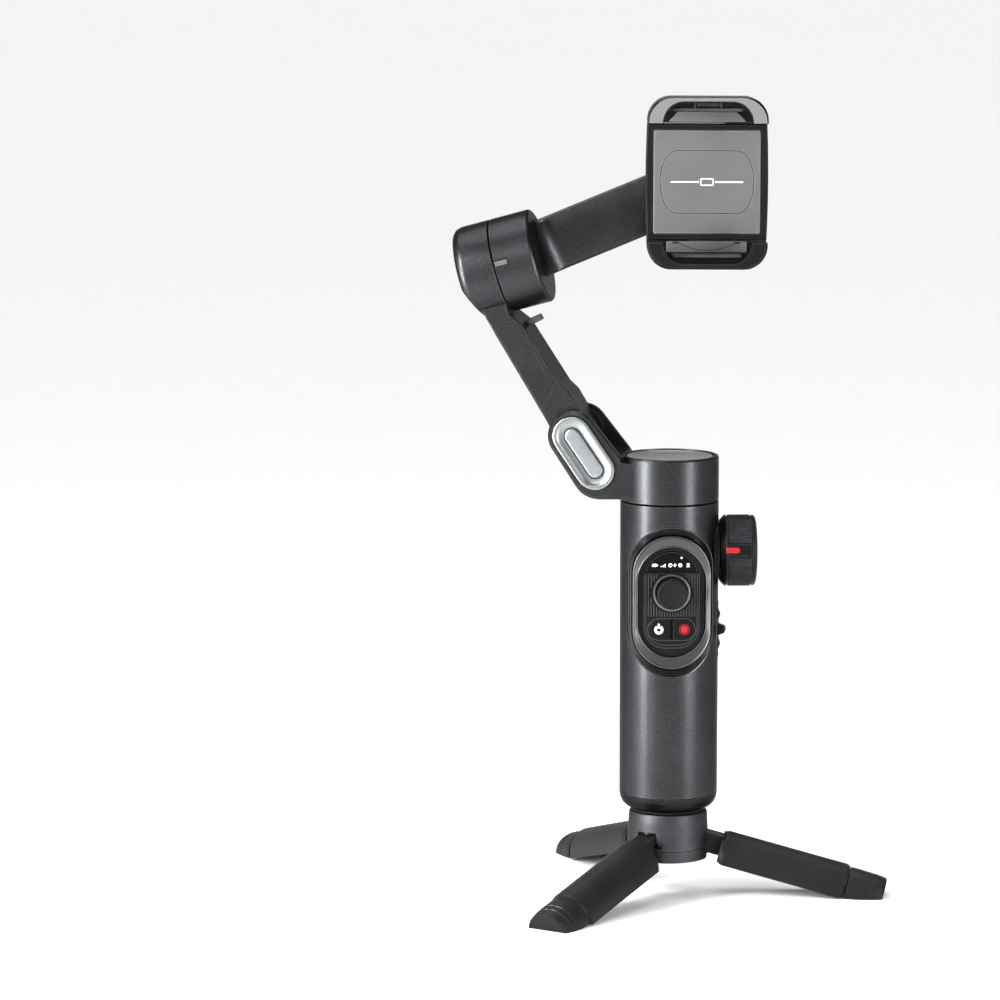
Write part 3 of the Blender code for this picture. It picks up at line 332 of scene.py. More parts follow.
def rounded_box(x0, x1, z0, z1, radius, steps=6):
    return (arc(x1 - radius, z1 - radius, radius, 0.0, 90.0, steps)
            + arc(x0 + radius, z1 - radius, radius, 90.0, 180.0, steps)
            + arc(x0 + radius, z0 + radius, radius, 180.0, 270.0, steps)
            + arc(x1 - radius, z0 + radius, radius, 270.0, 360.0, steps))


def capsule(start, end, radius, steps=20):
    """Outline round a line between two points."""
    aim = math.degrees(math.atan2(end[1] - start[1], end[0] - start[0]))
    return (arc(*end, radius, aim - 90.0, aim + 90.0, steps)
            + arc(*start, radius, aim + 90.0, aim + 270.0, steps))


def facing(outline, depth):
    return [(u, depth, v) for u, v in outline]


# ---------------------------------------------------------------- mesh work

def add_loft(bm, loops, where, ring=False, caps=True, closed=True):
    rows = [[bm.verts.new(where @ (Vector(p) * MM)) for p in loop] for loop in loops]
    pairs = list(zip(rows, rows[1:]))
    if ring:
        pairs.append((rows[-1], rows[0]))
    for first, second in pairs:
        count = len(first)
        for i in range(count if closed else count - 1):
            j = (i + 1) % count
            bm.faces.new((first[i], first[j], second[j], second[i]))
    if caps and not ring:
        bm.faces.new(rows[0])
        bm.faces.new(rows[-1])


def add_prism(bm, outline, back, front, where, edge=0.0):
    """Outline facing the user from a back to a front depth, its front edge eased."""
    if edge > 0.0:
        eased = ease(outline, edge)
        add_loft(bm, [facing(outline, back), facing(outline, front + edge),
                      facing(eased, front)], where)
    else:
        add_loft(bm, [facing(outline, back), facing(outline, front)], where)


def ease(outline, distance):
    """Counter-clockwise outline moved inwards."""
    moved = []
    count = len(outline)
    for i in range(count):
        here = Vector(outline[i])
        e1 = (here - Vector(outline[i - 1])).normalized()
        e2 = (Vector(outline[(i + 1) % count]) - here).normalized()
        n1 = Vector((-e1.y, e1.x))
        n2 = Vector((-e2.y, e2.x))
        both = n1 + n2
        if both.length < 1e-6:
            both = n1
        both.normalize()
        stretch = distance / max(both.dot(n1), 0.4)
        moved.append((here.x + both.x * stretch, here.y + both.y * stretch))
    return moved


def add_turned(bm, profile, where, axis="Y", steps=64, start=0.0, sweep=360.0):
    """Profile of (radius, depth) turned about an axis of the frame; the ends that touch the
    axis are closed, and a profile away from the axis is closed on itself."""
    full = sweep > 359.9
    count = steps if full else steps + 1
    rows = []
    for radius, depth in profile:
        if radius < 1e-6:
            rows.append([bm.verts.new(where @ (Vector(on_axis(0, 0, depth, axis)) * MM))])
            continue
        row = []
        for i in range(count):
            angle = math.radians(start + sweep * i / steps)
            point = on_axis(radius * math.cos(angle), radius * math.sin(angle), depth, axis)
            row.append(bm.verts.new(where @ (Vector(point) * MM)))
        rows.append(row)
    pairs = list(zip(rows, rows[1:]))
    open_profile = len(rows[0]) == 1 or len(rows[-1]) == 1
    if not open_profile:
        pairs.append((rows[-1], rows[0]))
    for first, second in pairs:
        for i in range(count if full else count - 1):
            j = (i + 1) % count
            if len(first) == 1:
                bm.faces.new((first[0], second[j], second[i]))
            elif len(second) == 1:
                bm.faces.new((first[i], first[j], second[0]))
            else:
                bm.faces.new((first[i], first[j], second[j], second[i]))
    if not full:
        bm.faces.new([row[0] for row in rows])
        bm.faces.new([row[-1] for row in rows])


def on_axis(a, b, depth, axis):
    if axis == "X":
        return (depth, a, b)
    if axis == "Y":
        return (a, depth, b)
    return (a, b, depth)


def add_bead(bm, path, radius, where, closed=True, sides=6, depth=None):
    """Round bead along a path of (x, z) points at a depth, or of 3-D points."""
    points = [Vector(p) if len(p) == 3 else Vector((p[0], depth, p[1])) for p in path]
    count = len(points)
    loops = []
    for i, here in enumerate(points):
        before = points[i - 1] if closed or i > 0 else here
        after = points[(i + 1) % count] if closed or i < count - 1 else here
        along = (after - before).normalized()
        side = along.cross(Vector((0.0, 1.0, 0.0))).normalized()
        out = side.cross(along).normalized()
        loops.append([tuple(here + side * radius * math.cos(2 * math.pi * k / sides)
                            + out * radius * math.sin(2 * math.pi * k / sides))
                      for k in range(sides)])
    add_loft(bm, loops, where, ring=closed)


def piece(name, bm, material, body, stands_for=(), angle=32.0):
    bmesh.ops.remove_doubles(bm, verts=bm.verts, dist=1e-7)
    bmesh.ops.recalc_face_normals(bm, faces=bm.faces)
    mesh = bpy.data.meshes.new(name)
    bm.to_mesh(mesh)
    bm.free()
    mesh.shade_smooth()
    mesh.set_sharp_from_angle(angle=math.radians(angle))
    mesh.materials.append(material)
    thing = bpy.data.objects.new(name, mesh)
    bpy.context.scene.collection.objects.link(thing)
    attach(thing, body)
    if stands_for:
        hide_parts(*stands_for)
    return thing


def refined(node, body):
    """Copy of a shell with its facets joined and its shading smoothed, standing for it."""
    bm = bmesh.new()
    bm.from_mesh(NODES[node].data)
    bmesh.ops.remove_doubles(bm, verts=bm.verts, dist=1e-5)
    bmesh.ops.dissolve_limit(bm, angle_limit=math.radians(0.4), verts=bm.verts,
                             edges=bm.edges, use_dissolve_boundaries=False)
    thing = piece(node + "_skin", bm, FINISHES.get(node, STEEL), body, (node,))
    weighted = thing.modifiers.new("face_weighted", "WEIGHTED_NORMAL")
    weighted.keep_sharp = True
    return thing


# ---------------------------------------------------------------- control panel

def on_handle(x, proud=0.0):
    """Depth of the handle's front surface at a sideways distance."""
    radius = half_size("handle_bottom_cap")[0]
    return -math.sqrt(radius * radius - x * x) - proud


def build_panel():
    out_w, out_h = half_size("panel_surround")
    bezel_w, bezel_h = half_size("panel_bezel")
    crest = front_of("panel_bezel")
    face = front_of("panel_face")
    floor = -9.2

    bm = bmesh.new()
    rim = stadium(out_w, out_h)
    lip = stadium(out_w - 0.45, out_h - 0.5)
    well = stadium(bezel_w + 0.45, bezel_h + 0.6)
    add_loft(bm, [facing(rim, floor), [(x, on_handle(x, -0.2), z) for x, z in rim],
                  [(x, on_handle(x, -0.25), z) for x, z in lip],
                  [(x, min(on_handle(x, -1.5), crest + 2.2), z) for x, z in well],
                  facing(stadium(bezel_w + 0.3, bezel_h + 0.3), floor)], PANEL, ring=True)
    piece("panel_surround_well", bm, BLACK_PLASTIC, "handle", ("panel_surround",))

    bm = bmesh.new()
    add_prism(bm, stadium(bezel_w - 1.9, bezel_h - 2.5, 32), face + 2.2, face + 1.0, PANEL)
    piece("panel_backing", bm, BLACK_PLASTIC, "handle")

    bm = bmesh.new()
    line = stadium(out_w - 0.2, out_h - 0.2, 32)
    add_bead(bm, [(x, on_handle(x, -0.12), z) for x, z in line], 0.17, PANEL)
    piece("panel_rim_line", bm, EDGE_METAL, "handle")

    bm = bmesh.new()
    steps = ((0.0, 0.0, 7.0), (0.0, 0.0, 0.5), (0.1, 0.13, 0.2), (0.3, 0.4, 0.03),
             (0.5, 0.65, 0.0), (0.7, 0.9, 0.12), (0.8, 1.05, 0.32), (1.62, 4.2, 0.78),
             (1.72, 4.4, 0.62), (1.88, 4.6, 0.56), (2.04, 4.8, 0.64), (2.1, 4.9, 0.84),
             (2.1, 4.9, 6.0))
    loops = [facing(stadium(bezel_w - inwards, bezel_h - down_to, 32), crest + down)
             for inwards, down_to, down in steps]
    add_loft(bm, loops + [facing(stadium(bezel_w - 0.6, bezel_h - 0.6, 32), crest + 7.0)], PANEL,
             ring=True)
    piece("panel_bezel_frame", bm, GUNMETAL, "handle", ("panel_bezel",))

    bm = bmesh.new()
    pitch = 1.1
    stick_z = (STICK.translation.z - PANEL.translation.z) / MM
    top = 11.3
    low = -5.9
    keep_out = 8.5
    for i in range(18):
        x = (i - 8.5) * pitch
        spans = [(low, top)]
        if abs(x) < keep_out:
            reach = math.sqrt(keep_out * keep_out - x * x)
            spans = [(low, stick_z - reach), (stick_z + reach, top)]
        for z0, z1 in spans:
            if z1 - z0 < 0.5:
                continue
            loops = [[(x - 0.3, face + 0.1, z), (x - 0.14, face - 0.2, z),
                      (x + 0.14, face - 0.2, z), (x + 0.3, face + 0.1, z)] for z in (z0, z1)]
            add_loft(bm, loops, PANEL)
    for width, bottom, radius in ((10.35, -17.6, 7.6), (11.15, -18.8, 8.6)):
        path = [(-width, top)]
        path += arc(-width + radius, bottom + radius, radius, 180.0, 270.0, 14)
        path += arc(width - radius, bottom + radius, radius, 270.0, 360.0, 14)
        path += [(width, top)]
        add_bead(bm, path, 0.2, PANEL, closed=False, depth=face)
    piece("panel_ribs", bm, PANEL_LINES, "handle")

    bm = bmesh.new()
    add_bead(bm, pill(9.62, 4.37), 0.16, BUTTONS, depth=face)
    piece("button_surround_line", bm, EDGE_METAL, "handle")
    build_display()
    build_stick(face)
    build_button_icons()


def build_display():
    glass = front_of("display_window")
    low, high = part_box("display_window")
    base = low.z / MM
    radius = 11.2
    centre = high.z / MM - radius
    there = Matrix.Identity(4)
    bm = bmesh.new()
    start = math.degrees(math.asin((base - centre) / radius))
    add_bead(bm, arc(0.0, centre, radius - 0.35, start + 2, 178 - start, 40), 0.1, there,
             closed=False, depth=glass)
    piece("display_edge_line", bm, PANEL_LINES, "handle")

    bm = bmesh.new()
    row = base + 2.9
    front = glass - 0.05

    def bar(x, z, w, h):
        add_prism(bm, rounded_box(x - w / 2, x + w / 2, z - h / 2, z + h / 2,
                                  min(w, h) * 0.3, 3), glass + 0.1, front, there)

    def ring(x, z, outer, inner):
        profile = [(inner, glass + 0.1), (outer, glass + 0.1), (outer, front), (inner, front)]
        add_turned(bm, profile, Matrix.Translation((x * MM, 0, z * MM)), steps=24)

    bar(-7.0, row, 1.9, 1.2)
    bar(-5.75, row, 0.35, 0.6)
    for k in range(3):
        bar(-4.2 + 0.75 * k, row - 0.55 + 0.22 * k, 0.42, 0.5 + 0.45 * k)
    ring(-0.6, row, 0.8, 0.42)
    bar(1.25, row, 1.3, 0.4)
    bar(1.25, row, 0.4, 1.3)
    ring(3.4, row, 0.8, 0.42)
    bar(3.4, row, 0.3, 0.3)
    bar(6.6, row, 1.2, 0.34)
    bar(6.6, row + 0.6, 1.2, 0.34)
    bar(6.6, row - 0.6, 1.2, 0.34)
    ring(3.9, base + 5.9, 0.42, 0.1)
    piece("display_marks", bm, WHITE_MARK, "handle")


def build_stick(face):
    bm = bmesh.new()
    front = front_of("joystick_ring")
    radius = half_size("joystick_ring")[0]
    add_turned(bm, [(radius - 1.3, face), (radius - 1.3, front + 0.25),
                    (radius - 1.15, front + 0.06), (radius - 0.9, front),
                    (radius - 0.45, front), (radius - 0.15, front + 0.1),
                    (radius, front + 0.35), (radius, face)], STICK, steps=96)
    piece("joystick_ring_band", bm, EDGE_METAL, "handle", ("joystick_ring",))

    bm = bmesh.new()
    top = front_of("joystick_cap")
    rim = half_size("joystick_cap")[0]
    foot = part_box("joystick_cap")[1].y / MM
    profile = [(0.0, foot), (2.1, foot), (2.2, top + 5.2), (3.2, top + 3.6),
               (rim - 0.75, top + 3.3), (rim - 0.1, top + 2.8), (rim, top + 2.3),
               (rim, top + 0.75), (rim - 0.12, top + 0.4), (rim - 0.4, top + 0.12),
               (rim - 0.7, top), (rim - 1.0, top + 0.03), (rim - 1.15, top + 0.22),
               (rim - 1.5, top + 0.3), (rim - 3.0, top + 0.36), (0.0, top + 0.4)]
    add_turned(bm, profile, STICK, steps=72)
    piece("joystick_thumb_cap", bm, STICK_RUBBER, "joystick", ("joystick_cap",))


def build_button_icons():
    front = front_of("power_button")
    centre = (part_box("record_button")[1].x / MM) * 0.56
    left = BUTTONS @ Matrix.Translation((-centre * MM, 0.0, 0.0))
    right = BUTTONS @ Matrix.Translation((centre * MM, 0.0, 0.0))
    raised = front - 0.05
    deep = front + 0.2
    bm = bmesh.new()
    ring = [(0.85, deep), (1.85, deep), (1.85, raised), (0.85, raised)]
    add_turned(bm, ring, left, steps=40, start=122.0, sweep=296.0)
    add_prism(bm, rounded_box(-0.38, 0.38, 0.5, 2.5, 0.3, 4), deep, raised, left)
    piece("power_icon", bm, WHITE_MARK, "power_button")

    bm = bmesh.new()
    add_turned(bm, [(0.0, deep), (1.5, deep), (1.5, raised), (0.0, raised - 0.05)], right,
               steps=40)
    add_turned(bm, [(1.95, deep), (2.15, deep), (2.15, front - 0.02), (1.95, front - 0.02)], right,
               steps=40)
    piece("record_icon", bm, RED, "record_button")


# ---------------------------------------------------------------- knob and slider

def build_knob():
    low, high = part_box("side_knob")
    inner = low.x / MM
    outer = high.x / MM
    radius = half_size("side_knob")[1]
    ribs = 84
    per_rib = 4
    columns = ribs * per_rib
    rib_depth = 0.24
    window = 9.8
    groove = 11.9
    front_angle = 172.0
    rows = ((inner, 2.9, 0), (inner, radius - 2.1, 0), (inner + 1.6, radius - 0.45, 0),
            (inner + 2.0, radius - 0.05, 0), (inner + 2.5, radius, 0),
            (inner + 2.7, radius - 0.45, 0), (inner + 3.2, radius - 0.45, 0),
            (inner + 3.4, radius, 1), (inner + 3.5, radius, 1), (outer - 2.6, radius, 1),
            (outer - 2.5, radius, 1), (outer - 2.4, radius - 0.5, 0),
            (outer - 1.9, radius - 0.5, 0), (outer - 1.75, radius - 0.05, 0),
            (outer - 0.7, radius - 0.35, 0), (outer - 0.2, radius - 1.1, 0),
            (outer, radius - 1.9, 0), (outer, radius - 4.1, 0),
            (outer - 0.25, radius - 4.25, 0), (outer - 1.0, radius - 4.3, 0),
            (outer - 1.0, 2.9, 0))
    bm = bmesh.new()
    loops = []
    for x, r, ribbed in rows:
        loop = []
        for i in range(columns):
            angle = 360.0 * i / columns
            away = abs((angle - front_angle + 180.0) % 360.0 - 180.0)
            here = r
            if ribbed and away <= window:
                here = r - 0.12
            elif ribbed and away <= groove:
                here = r - 0.75
            elif ribbed and i % per_rib in (2, 3):
                here = r - rib_depth
            turn = math.radians(angle)
            loop.append((x, here * math.cos(turn), here * math.sin(turn)))
        loops.append(loop)
    add_loft(bm, loops, KNOB, ring=True)
    piece("side_knob_ribbed", bm, KNOB_PLASTIC, "knob", ("side_knob",), angle=40.0)

    bm = bmesh.new()
    mark = (arc(27.0 - 0.3, 0.0, 1.15, -90.0, 90.0, 12) + [(22.3, 1.15), (22.3, -1.15)])
    tilted = KNOB @ Matrix.Rotation(math.radians(front_angle - 180.0), 4, "X")
    add_loft(bm, [facing(mark, -13.4), facing(mark, -radius + 0.02),
                  facing(ease(mark, 0.2), -radius - 0.12)], tilted)
    piece("knob_red_mark", bm, RED, "knob", ("knob_pointer",))

    bm = bmesh.new()
    for k in range(3):
        add_turned(bm, [(radius - 3.6, outer - 0.1), (radius - 2.2, outer - 0.1),
                        (radius - 2.25, outer), (radius - 3.55, outer)], KNOB,
                   axis="X", steps=30, start=40.0 + 120.0 * k, sweep=98.0)
    piece("knob_dial_arcs", bm, GREY_MARK, "knob")


def build_slider():
    half_w = 2.7
    half_h = half_size("zoom_slider")[1]
    foot = 16.3
    peak = 23.0
    bm = bmesh.new()
    loops = []
    steps = 44
    for i in range(steps + 1):
        t = -1.0 + 2.0 * i / steps
        z = half_h * t
        round_off = min((half_h - abs(z)) / half_w, 1.0)
        width = half_w * math.sqrt(max(1.0 - (1.0 - round_off) ** 2, 0.02))
        dome = 20.1 + 0.75 * math.exp(-((abs(z) - 6.0) / 1.6) ** 2)
        ridge = (peak - 20.1) / (1.0 + math.exp((abs(z) - 1.75) * 4.5))
        top = dome + ridge
        edge = min(0.6, width * 0.5)
        loops.append([(foot, -width, z), (foot, width, z), (top - 0.8, width, z),
                      (top - 0.25, width - edge * 0.35, z), (top, width - edge, z),
                      (top, -width + edge, z), (top - 0.25, -width + edge * 0.35, z),
                      (top - 0.8, -width, z)])
    add_loft(bm, loops, SLIDER)
    piece("zoom_slider_grip", bm, BLACK_PLASTIC, "slider", ("zoom_slider",), angle=50.0)

    bm = bmesh.new()
    mark = rounded_box(-1.4, 1.4, -0.55, 0.55, 0.3, 3)
    add_loft(bm, [[(x, y, z) for y, z in mark] for x in (22.6, 23.12)], SLIDER)
    piece("slider_red_mark", bm, RED, "slider", ("slider_mark",))

    bm = bmesh.new()
    rim = stadium(3.35, 11.4)
    add_bead(bm, [(math.sqrt(400.0 - y * y) + 0.02, y, z) for y, z in rim], 0.16, SLIDER)
    piece("slider_slot_line", bm, EDGE_METAL, "handle")


# ---------------------------------------------------------------- pan head

def build_head():
    low = (9.3, -13.6)
    front = -17.0
    steps = ((2.3, 8.0), (0.45, 8.0), (0.15, 7.88), (0.02, 7.6), (0.0, 7.3), (0.0, 6.6),
             (0.06, 6.35), (0.25, 6.1), (0.6, 5.4), (0.85, 4.6), (0.95, 3.9), (0.98, 3.2))
    bm = bmesh.new()
    add_loft(bm, [facing(capsule((0, 0), low, r, 24), front + d) for d, r in steps], HINGE)
    piece("release_button_rim", bm, SILVER, "release", ("hinge_release_button",))
    bm = bmesh.new()
    steps = ((1.2, 3.1), (0.4, 3.0), (0.2, 2.85), (0.1, 2.6), (0.08, 2.2))
    add_loft(bm, [facing(capsule((0, 0), low, r, 20), front + d) for d, r in steps], HINGE)
    piece("release_button_bar", bm, SILVER_GRAIN, "release")
    bm = bmesh.new()
    add_bead(bm, capsule((0, 0), low, 3.45, 24), 0.22, HINGE, depth=front + 0.98)
    piece("release_button_line", bm, BLACK_PLASTIC, "release")

    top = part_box("pan_top_disc")[1].z / MM
    radius = half_size("pan_top_disc")[0]
    bm = bmesh.new()
    add_turned(bm, [(0.0, top - 1.0), (radius, top - 1.0), (radius, top - 0.25),
                    (radius - 0.2, top - 0.05), (radius - 0.5, top), (radius - 1.2, top),
                    (radius - 1.5, top - 0.08), (radius - 2.9, top - 0.5),
                    (radius - 3.2, top - 0.55), (0.0, top - 0.5)], PAN, axis="Z", steps=96)
    piece("pan_top_plate", bm, TOP_METAL, "pan_head", ("pan_top_disc",))

    bm = bmesh.new()
    add_turned(bm, [(7.8, 12.05), (8.5, 12.05), (8.5, 12.4), (7.8, 12.4)], HINGE, steps=48)
    piece("hinge_ring", bm, EDGE_METAL, "pan_head")


# ---------------------------------------------------------------- arms

def along_arm(s, n):
    """Point at a distance along the lower arm and to its right, seen from the front."""
    angle = math.radians(121.2)
    return (s * math.cos(angle) + n * math.sin(angle), s * math.sin(angle) - n * math.cos(angle))


def build_arms():
    bm = bmesh.new()
    plate = [along_arm(12.6, -6.2), along_arm(21.2, 3.7), along_arm(52.5, 3.4),
             along_arm(55.5, -6.2)]
    add_prism(bm, plate, -11.8, -12.28, HINGE, edge=0.2)
    piece("arm1_front_plate", bm, GRAPHITE, "lower_arm")

    bm = bmesh.new()
    face = 16.2
    radius = 10.0
    front = 8.0
    straight_run = 45.0
    path = [(face + radius + straight_run, front)]
    path += arc(face + radius, front - radius, radius, 90.0, 172.0, 18)
    half_w = 10.0
    outer = []
    for i, (x, y) in enumerate(path):
        outwards = Vector((x - face - radius, y - front + radius))
        outer.append((x, y, Vector((0.0, -1.0)) if i == 0 else -outwards.normalized()))
    loops = []
    for x, y, normal in outer:
        lift = normal if normal.y < 0 or normal.x > 0 else -normal
        section = []
        for z, out in ((-half_w, -0.2), (-half_w, 0.06), (-half_w + 0.25, 0.16),
                       (half_w - 0.25, 0.16), (half_w, 0.06), (half_w, -0.2)):
            section.append((x + lift.x * out, y + lift.y * out, z))
        loops.append(section)
    add_loft(bm, loops, STRIP)
    piece("arm2_inlay", bm, GRAPHITE, "upper_arm", ("arm2_cover",))

    bm = bmesh.new()
    add_prism(bm, rounded_box(0.7, 5.9, 1.0, 3.0, 0.3, 4), -18.6, -19.2, TILT, edge=0.1)
    piece("motor_alignment_notch", bm, NOTCH_GREY, "upper_arm")
    bm = bmesh.new()
    add_prism(bm, rounded_box(0.4, 6.4, 3.0, 3.6, 0.2, 4), -18.4, -19.13, TILT)
    add_prism(bm, rounded_box(5.9, 6.4, 0.9, 3.2, 0.2, 4), -18.4, -19.19, TILT)
    piece("motor_notch_shadow", bm, BLACK_PLASTIC, "upper_arm")


# ---------------------------------------------------------------- phone clamp

def oval(half_flat, half_w, half_h, grow, count=72):
    """Flat top and bottom with half-ellipse ends, wider than tall."""
    points = []
    quarter = count // 4
    end_w = half_w - half_flat
    for centre, start in ((half_flat, -90.0), (-half_flat, 90.0)):
        for i in range(2 * quarter):
            angle = math.radians(start + 180.0 * i / (2 * quarter - 1))
            points.append((centre + (end_w + grow) * math.cos(angle),
                           (half_h + grow) * math.sin(angle)))
    return points


def square_as(outline, half_w, half_h):
    """Points of a box's edge, one for each point of an outline, at the same angle."""
    points = []
    for x, z in outline:
        stretch = min(half_w / max(abs(x), 1e-6), half_h / max(abs(z), 1e-6))
        points.append((x * stretch, z * stretch))
    return points


def jaw_front(half, top, radius, inset):
    """Horseshoe half of a jaw front, open at the bottom, moved inwards by the inset."""
    half -= inset
    top -= inset
    low = 24.0
    points = [(half, low)] + arc(half - radius, top - radius, radius, 0.0, 90.0, 16)
    return points + arc(-half + radius, top - radius, radius, 90.0, 180.0, 16) + [(-half, low)]


def build_clamp():
    front = -3.7
    half_w = 21.6
    half_h = 20.9
    groove = [oval(12.3, 19.1, 12.8, g) for g in (0.0, -0.12, -0.3, -0.42)]
    border = square_as(groove[0], half_w, half_h)
    inner = square_as(groove[0], half_w - 0.35, half_h - 0.35)
    bm = bmesh.new()
    add_loft(bm, [facing(border, -1.8), facing(border, front + 0.35), facing(inner, front),
                  facing(groove[0], front), facing(groove[1], front + 0.3),
                  facing(groove[2], front + 0.3), facing(groove[3], front)], CLAMP)
    piece("clamp_plate_grooved", bm, GREY_PLATE, "clamp", ("clamp_face_plate",))

    bm = bmesh.new()
    add_bead(bm, oval(12.3, 19.1, 12.8, -0.21), 0.16, CLAMP, depth=front + 0.28, sides=4)
    piece("clamp_groove_line", bm, BLACK_PLASTIC, "clamp")

    bm = bmesh.new()
    outer = rounded_box(-2.7, 2.7, -1.5, 1.5, 0.6, 5)
    hole = rounded_box(-2.3, 2.3, -1.1, 1.1, 0.4, 5)
    add_loft(bm, [facing(outer, front + 0.1), facing(outer, front - 0.06),
                  facing(hole, front - 0.06), facing(hole, front + 0.1)], CLAMP, ring=True)
    for side in (-1.0, 1.0):
        add_prism(bm, rounded_box(side * 9.4 - 5.2, side * 9.4 + 5.2, -0.28, 0.28, 0.25, 4),
                  front + 0.1, front - 0.06, CLAMP)
        add_prism(bm, circle(0.42, 16, side * 3.6), front + 0.1, front - 0.06, CLAMP)
    piece("clamp_phone_icon", bm, WHITE_MARK, "clamp")

    for name, where in (("upper_jaw", CLAMP), ("lower_jaw", CLAMP_DOWN)):
        bm = bmesh.new()
        # Black sheet over the back of the jaw's hollow: painted shade where the hook's walls shade the
        # back plate.
        add_prism(bm, rounded_box(-19.4, 19.4, 23.9, 28.5, 0.3, 3), -3.5, -3.75, where)
        piece(name + "_painted_hollow_shade", bm, BLACK_PLASTIC, name)
        outer = jaw_front(24.2, 34.6, 9.6, 0.7)
        mouth = jaw_front(17.9, 32.4, 8.5, -0.35)
        bm = bmesh.new()
        add_loft(bm, [facing(outer, -18.0), facing(outer, -18.52), facing(mouth, -18.52),
                      facing(mouth, -18.0)], where, ring=True)
        piece(name + "_lip", bm, LIP_GREY if name == "upper_jaw" else DARK_GRAPHITE, name)
    bm = bmesh.new()
    step = [(-15.6, 24.3), (15.6, 24.3), (11.8, 28.2), (-11.8, 28.2)]
    add_prism(bm, step, -3.6, -4.15, CLAMP, edge=0.15)
    piece("upper_jaw_step", bm, GREY_PLATE, "upper_jaw")
    bm = bmesh.new()
    add_prism(bm, rounded_box(-4.4, 4.4, 30.7, 32.3, 0.4, 4), -15.4, -17.2, CLAMP, edge=0.3)
    for side in (-1.0, 1.0):
        add_prism(bm, rounded_box(side * 5.3 - 0.35, side * 5.3 + 0.35, 29.8, 32.3, 0.3, 4),
                  -15.4, -17.0, CLAMP, edge=0.15)
    piece("upper_jaw_tab", bm, GRAPHITE, "upper_jaw")

    bm = bmesh.new()
    add_prism(bm, rounded_box(-16.2, 16.2, 23.95, 28.3, 0.5, 4), -3.6, -4.1, CLAMP_DOWN,
              edge=0.2)
    piece("lower_jaw_step", bm, GREY_PLATE, "lower_jaw")
    bm = bmesh.new()
    for side in (-1.0, 1.0):
        add_prism(bm, rounded_box(side * 12.4 - 1.3, side * 12.4 + 1.3, 24.1, 24.8, 0.3, 4),
                  -4.0, -4.22, CLAMP_DOWN)
    smile = [(0.82 * x, 27.6 - 3.1 * (x / 14.0) ** 2) for x in range(-14, 15)]
    add_bead(bm, smile, 0.12, CLAMP_DOWN, closed=False, depth=-4.12, sides=4)
    piece("lower_jaw_lines", bm, BLACK_PLASTIC, "lower_jaw")


# ---------------------------------------------------------------- tripod

def leg_section(half_w, half_t, crown, x, steps=24):
    """Half-round leg section with eased lower corners."""
    corner = 1.5
    points = arc(-half_w + corner, -half_t + corner, corner, 180.0, 270.0, 5)
    points += arc(half_w - corner, -half_t + corner, corner, 270.0, 360.0, 5)
    for i in range(steps + 1):
        angle = math.radians(180.0 * i / steps)
        points.append((half_w * math.cos(angle), -half_t + 1.6 + crown * math.sin(angle)))
    return [(x, u, v) for u, v in points]


def build_hub():
    hub_r = 16.7
    top_r = 15.9
    seam = 19.9
    slot_top = 27.4
    top = 34.6
    opening = 19.0
    proud = 0.06

    def radius_at(z):
        return hub_r - 0.1 - (z - 22.0) * (hub_r - 0.1 - top_r) / (top - 0.8 - 22.0) + proud

    world = Matrix.Identity(4)
    bm = bmesh.new()
    add_turned(bm, [(14.6, slot_top), (radius_at(slot_top), slot_top),
                    (radius_at(30.0), 30.0), (top_r + proud, top - 0.8),
                    (top_r - 0.25, top - 0.25), (top_r - 0.8, top + 0.02), (14.6, top + 0.02)],
               world, axis="Z", steps=96)
    for azimuth in LEG_AZIMUTHS:
        add_turned(bm, [(14.6, seam), (hub_r + proud, seam), (radius_at(22.0), 22.0),
                        (radius_at(slot_top), slot_top), (14.6, slot_top)], world, axis="Z",
                   steps=32, start=azimuth + opening, sweep=120.0 - 2.0 * opening)
    piece("hub_upper_shell", bm, HUB_PLASTIC, "handle")
    bm = bmesh.new()
    for azimuth in LEG_AZIMUTHS:
        add_turned(bm, [(14.6, 15.0), (hub_r - 0.4, 15.0), (hub_r + proud, 15.5),
                        (hub_r + proud, seam - 0.3), (14.6, seam - 0.3)], world, axis="Z",
                   steps=32, start=azimuth + opening, sweep=120.0 - 2.0 * opening)
    piece("hub_lower_shell", bm, HUB_PLASTIC, "handle")


def build_legs():
    for number in (1, 2, 3):
        where = leg_matrix(number)
        bm = bmesh.new()
        plan = ((61.35, 9.9, 5.9, 9.6), (61.7, 9.95, 5.95, 9.8), (66.0, 9.95, 5.95, 9.8),
                (72.0, 9.8, 5.9, 9.6), (75.0, 9.5, 5.7, 9.2), (76.2, 9.1, 5.4, 8.7),
                (76.7, 8.4, 4.9, 7.9))
        add_loft(bm, [leg_section(w, t, c, x) for x, w, t, c in plan], where)
        for vert in bm.verts:
            vert.co.z = max(vert.co.z, 0.0)
        bmesh.ops.remove_doubles(bm, verts=bm.verts, dist=1e-6)
        piece(f"foot_{number}_cap", bm, LEG_PLASTIC, f"leg_{number}", (f"foot_pad_{number}",))
        bm = bmesh.new()
        for x, half_w, half_t, crown in ((69.2, 9.88, 5.93, 9.72), (72.4, 9.75, 5.87, 9.55)):
            add_bead(bm, leg_section(half_w, half_t, crown, x), 0.2, where)
        for vert in bm.verts:
            vert.co.z = max(vert.co.z, 0.0)
        piece(f"foot_{number}_rims", bm, DARK_GRAPHITE, f"leg_{number}")


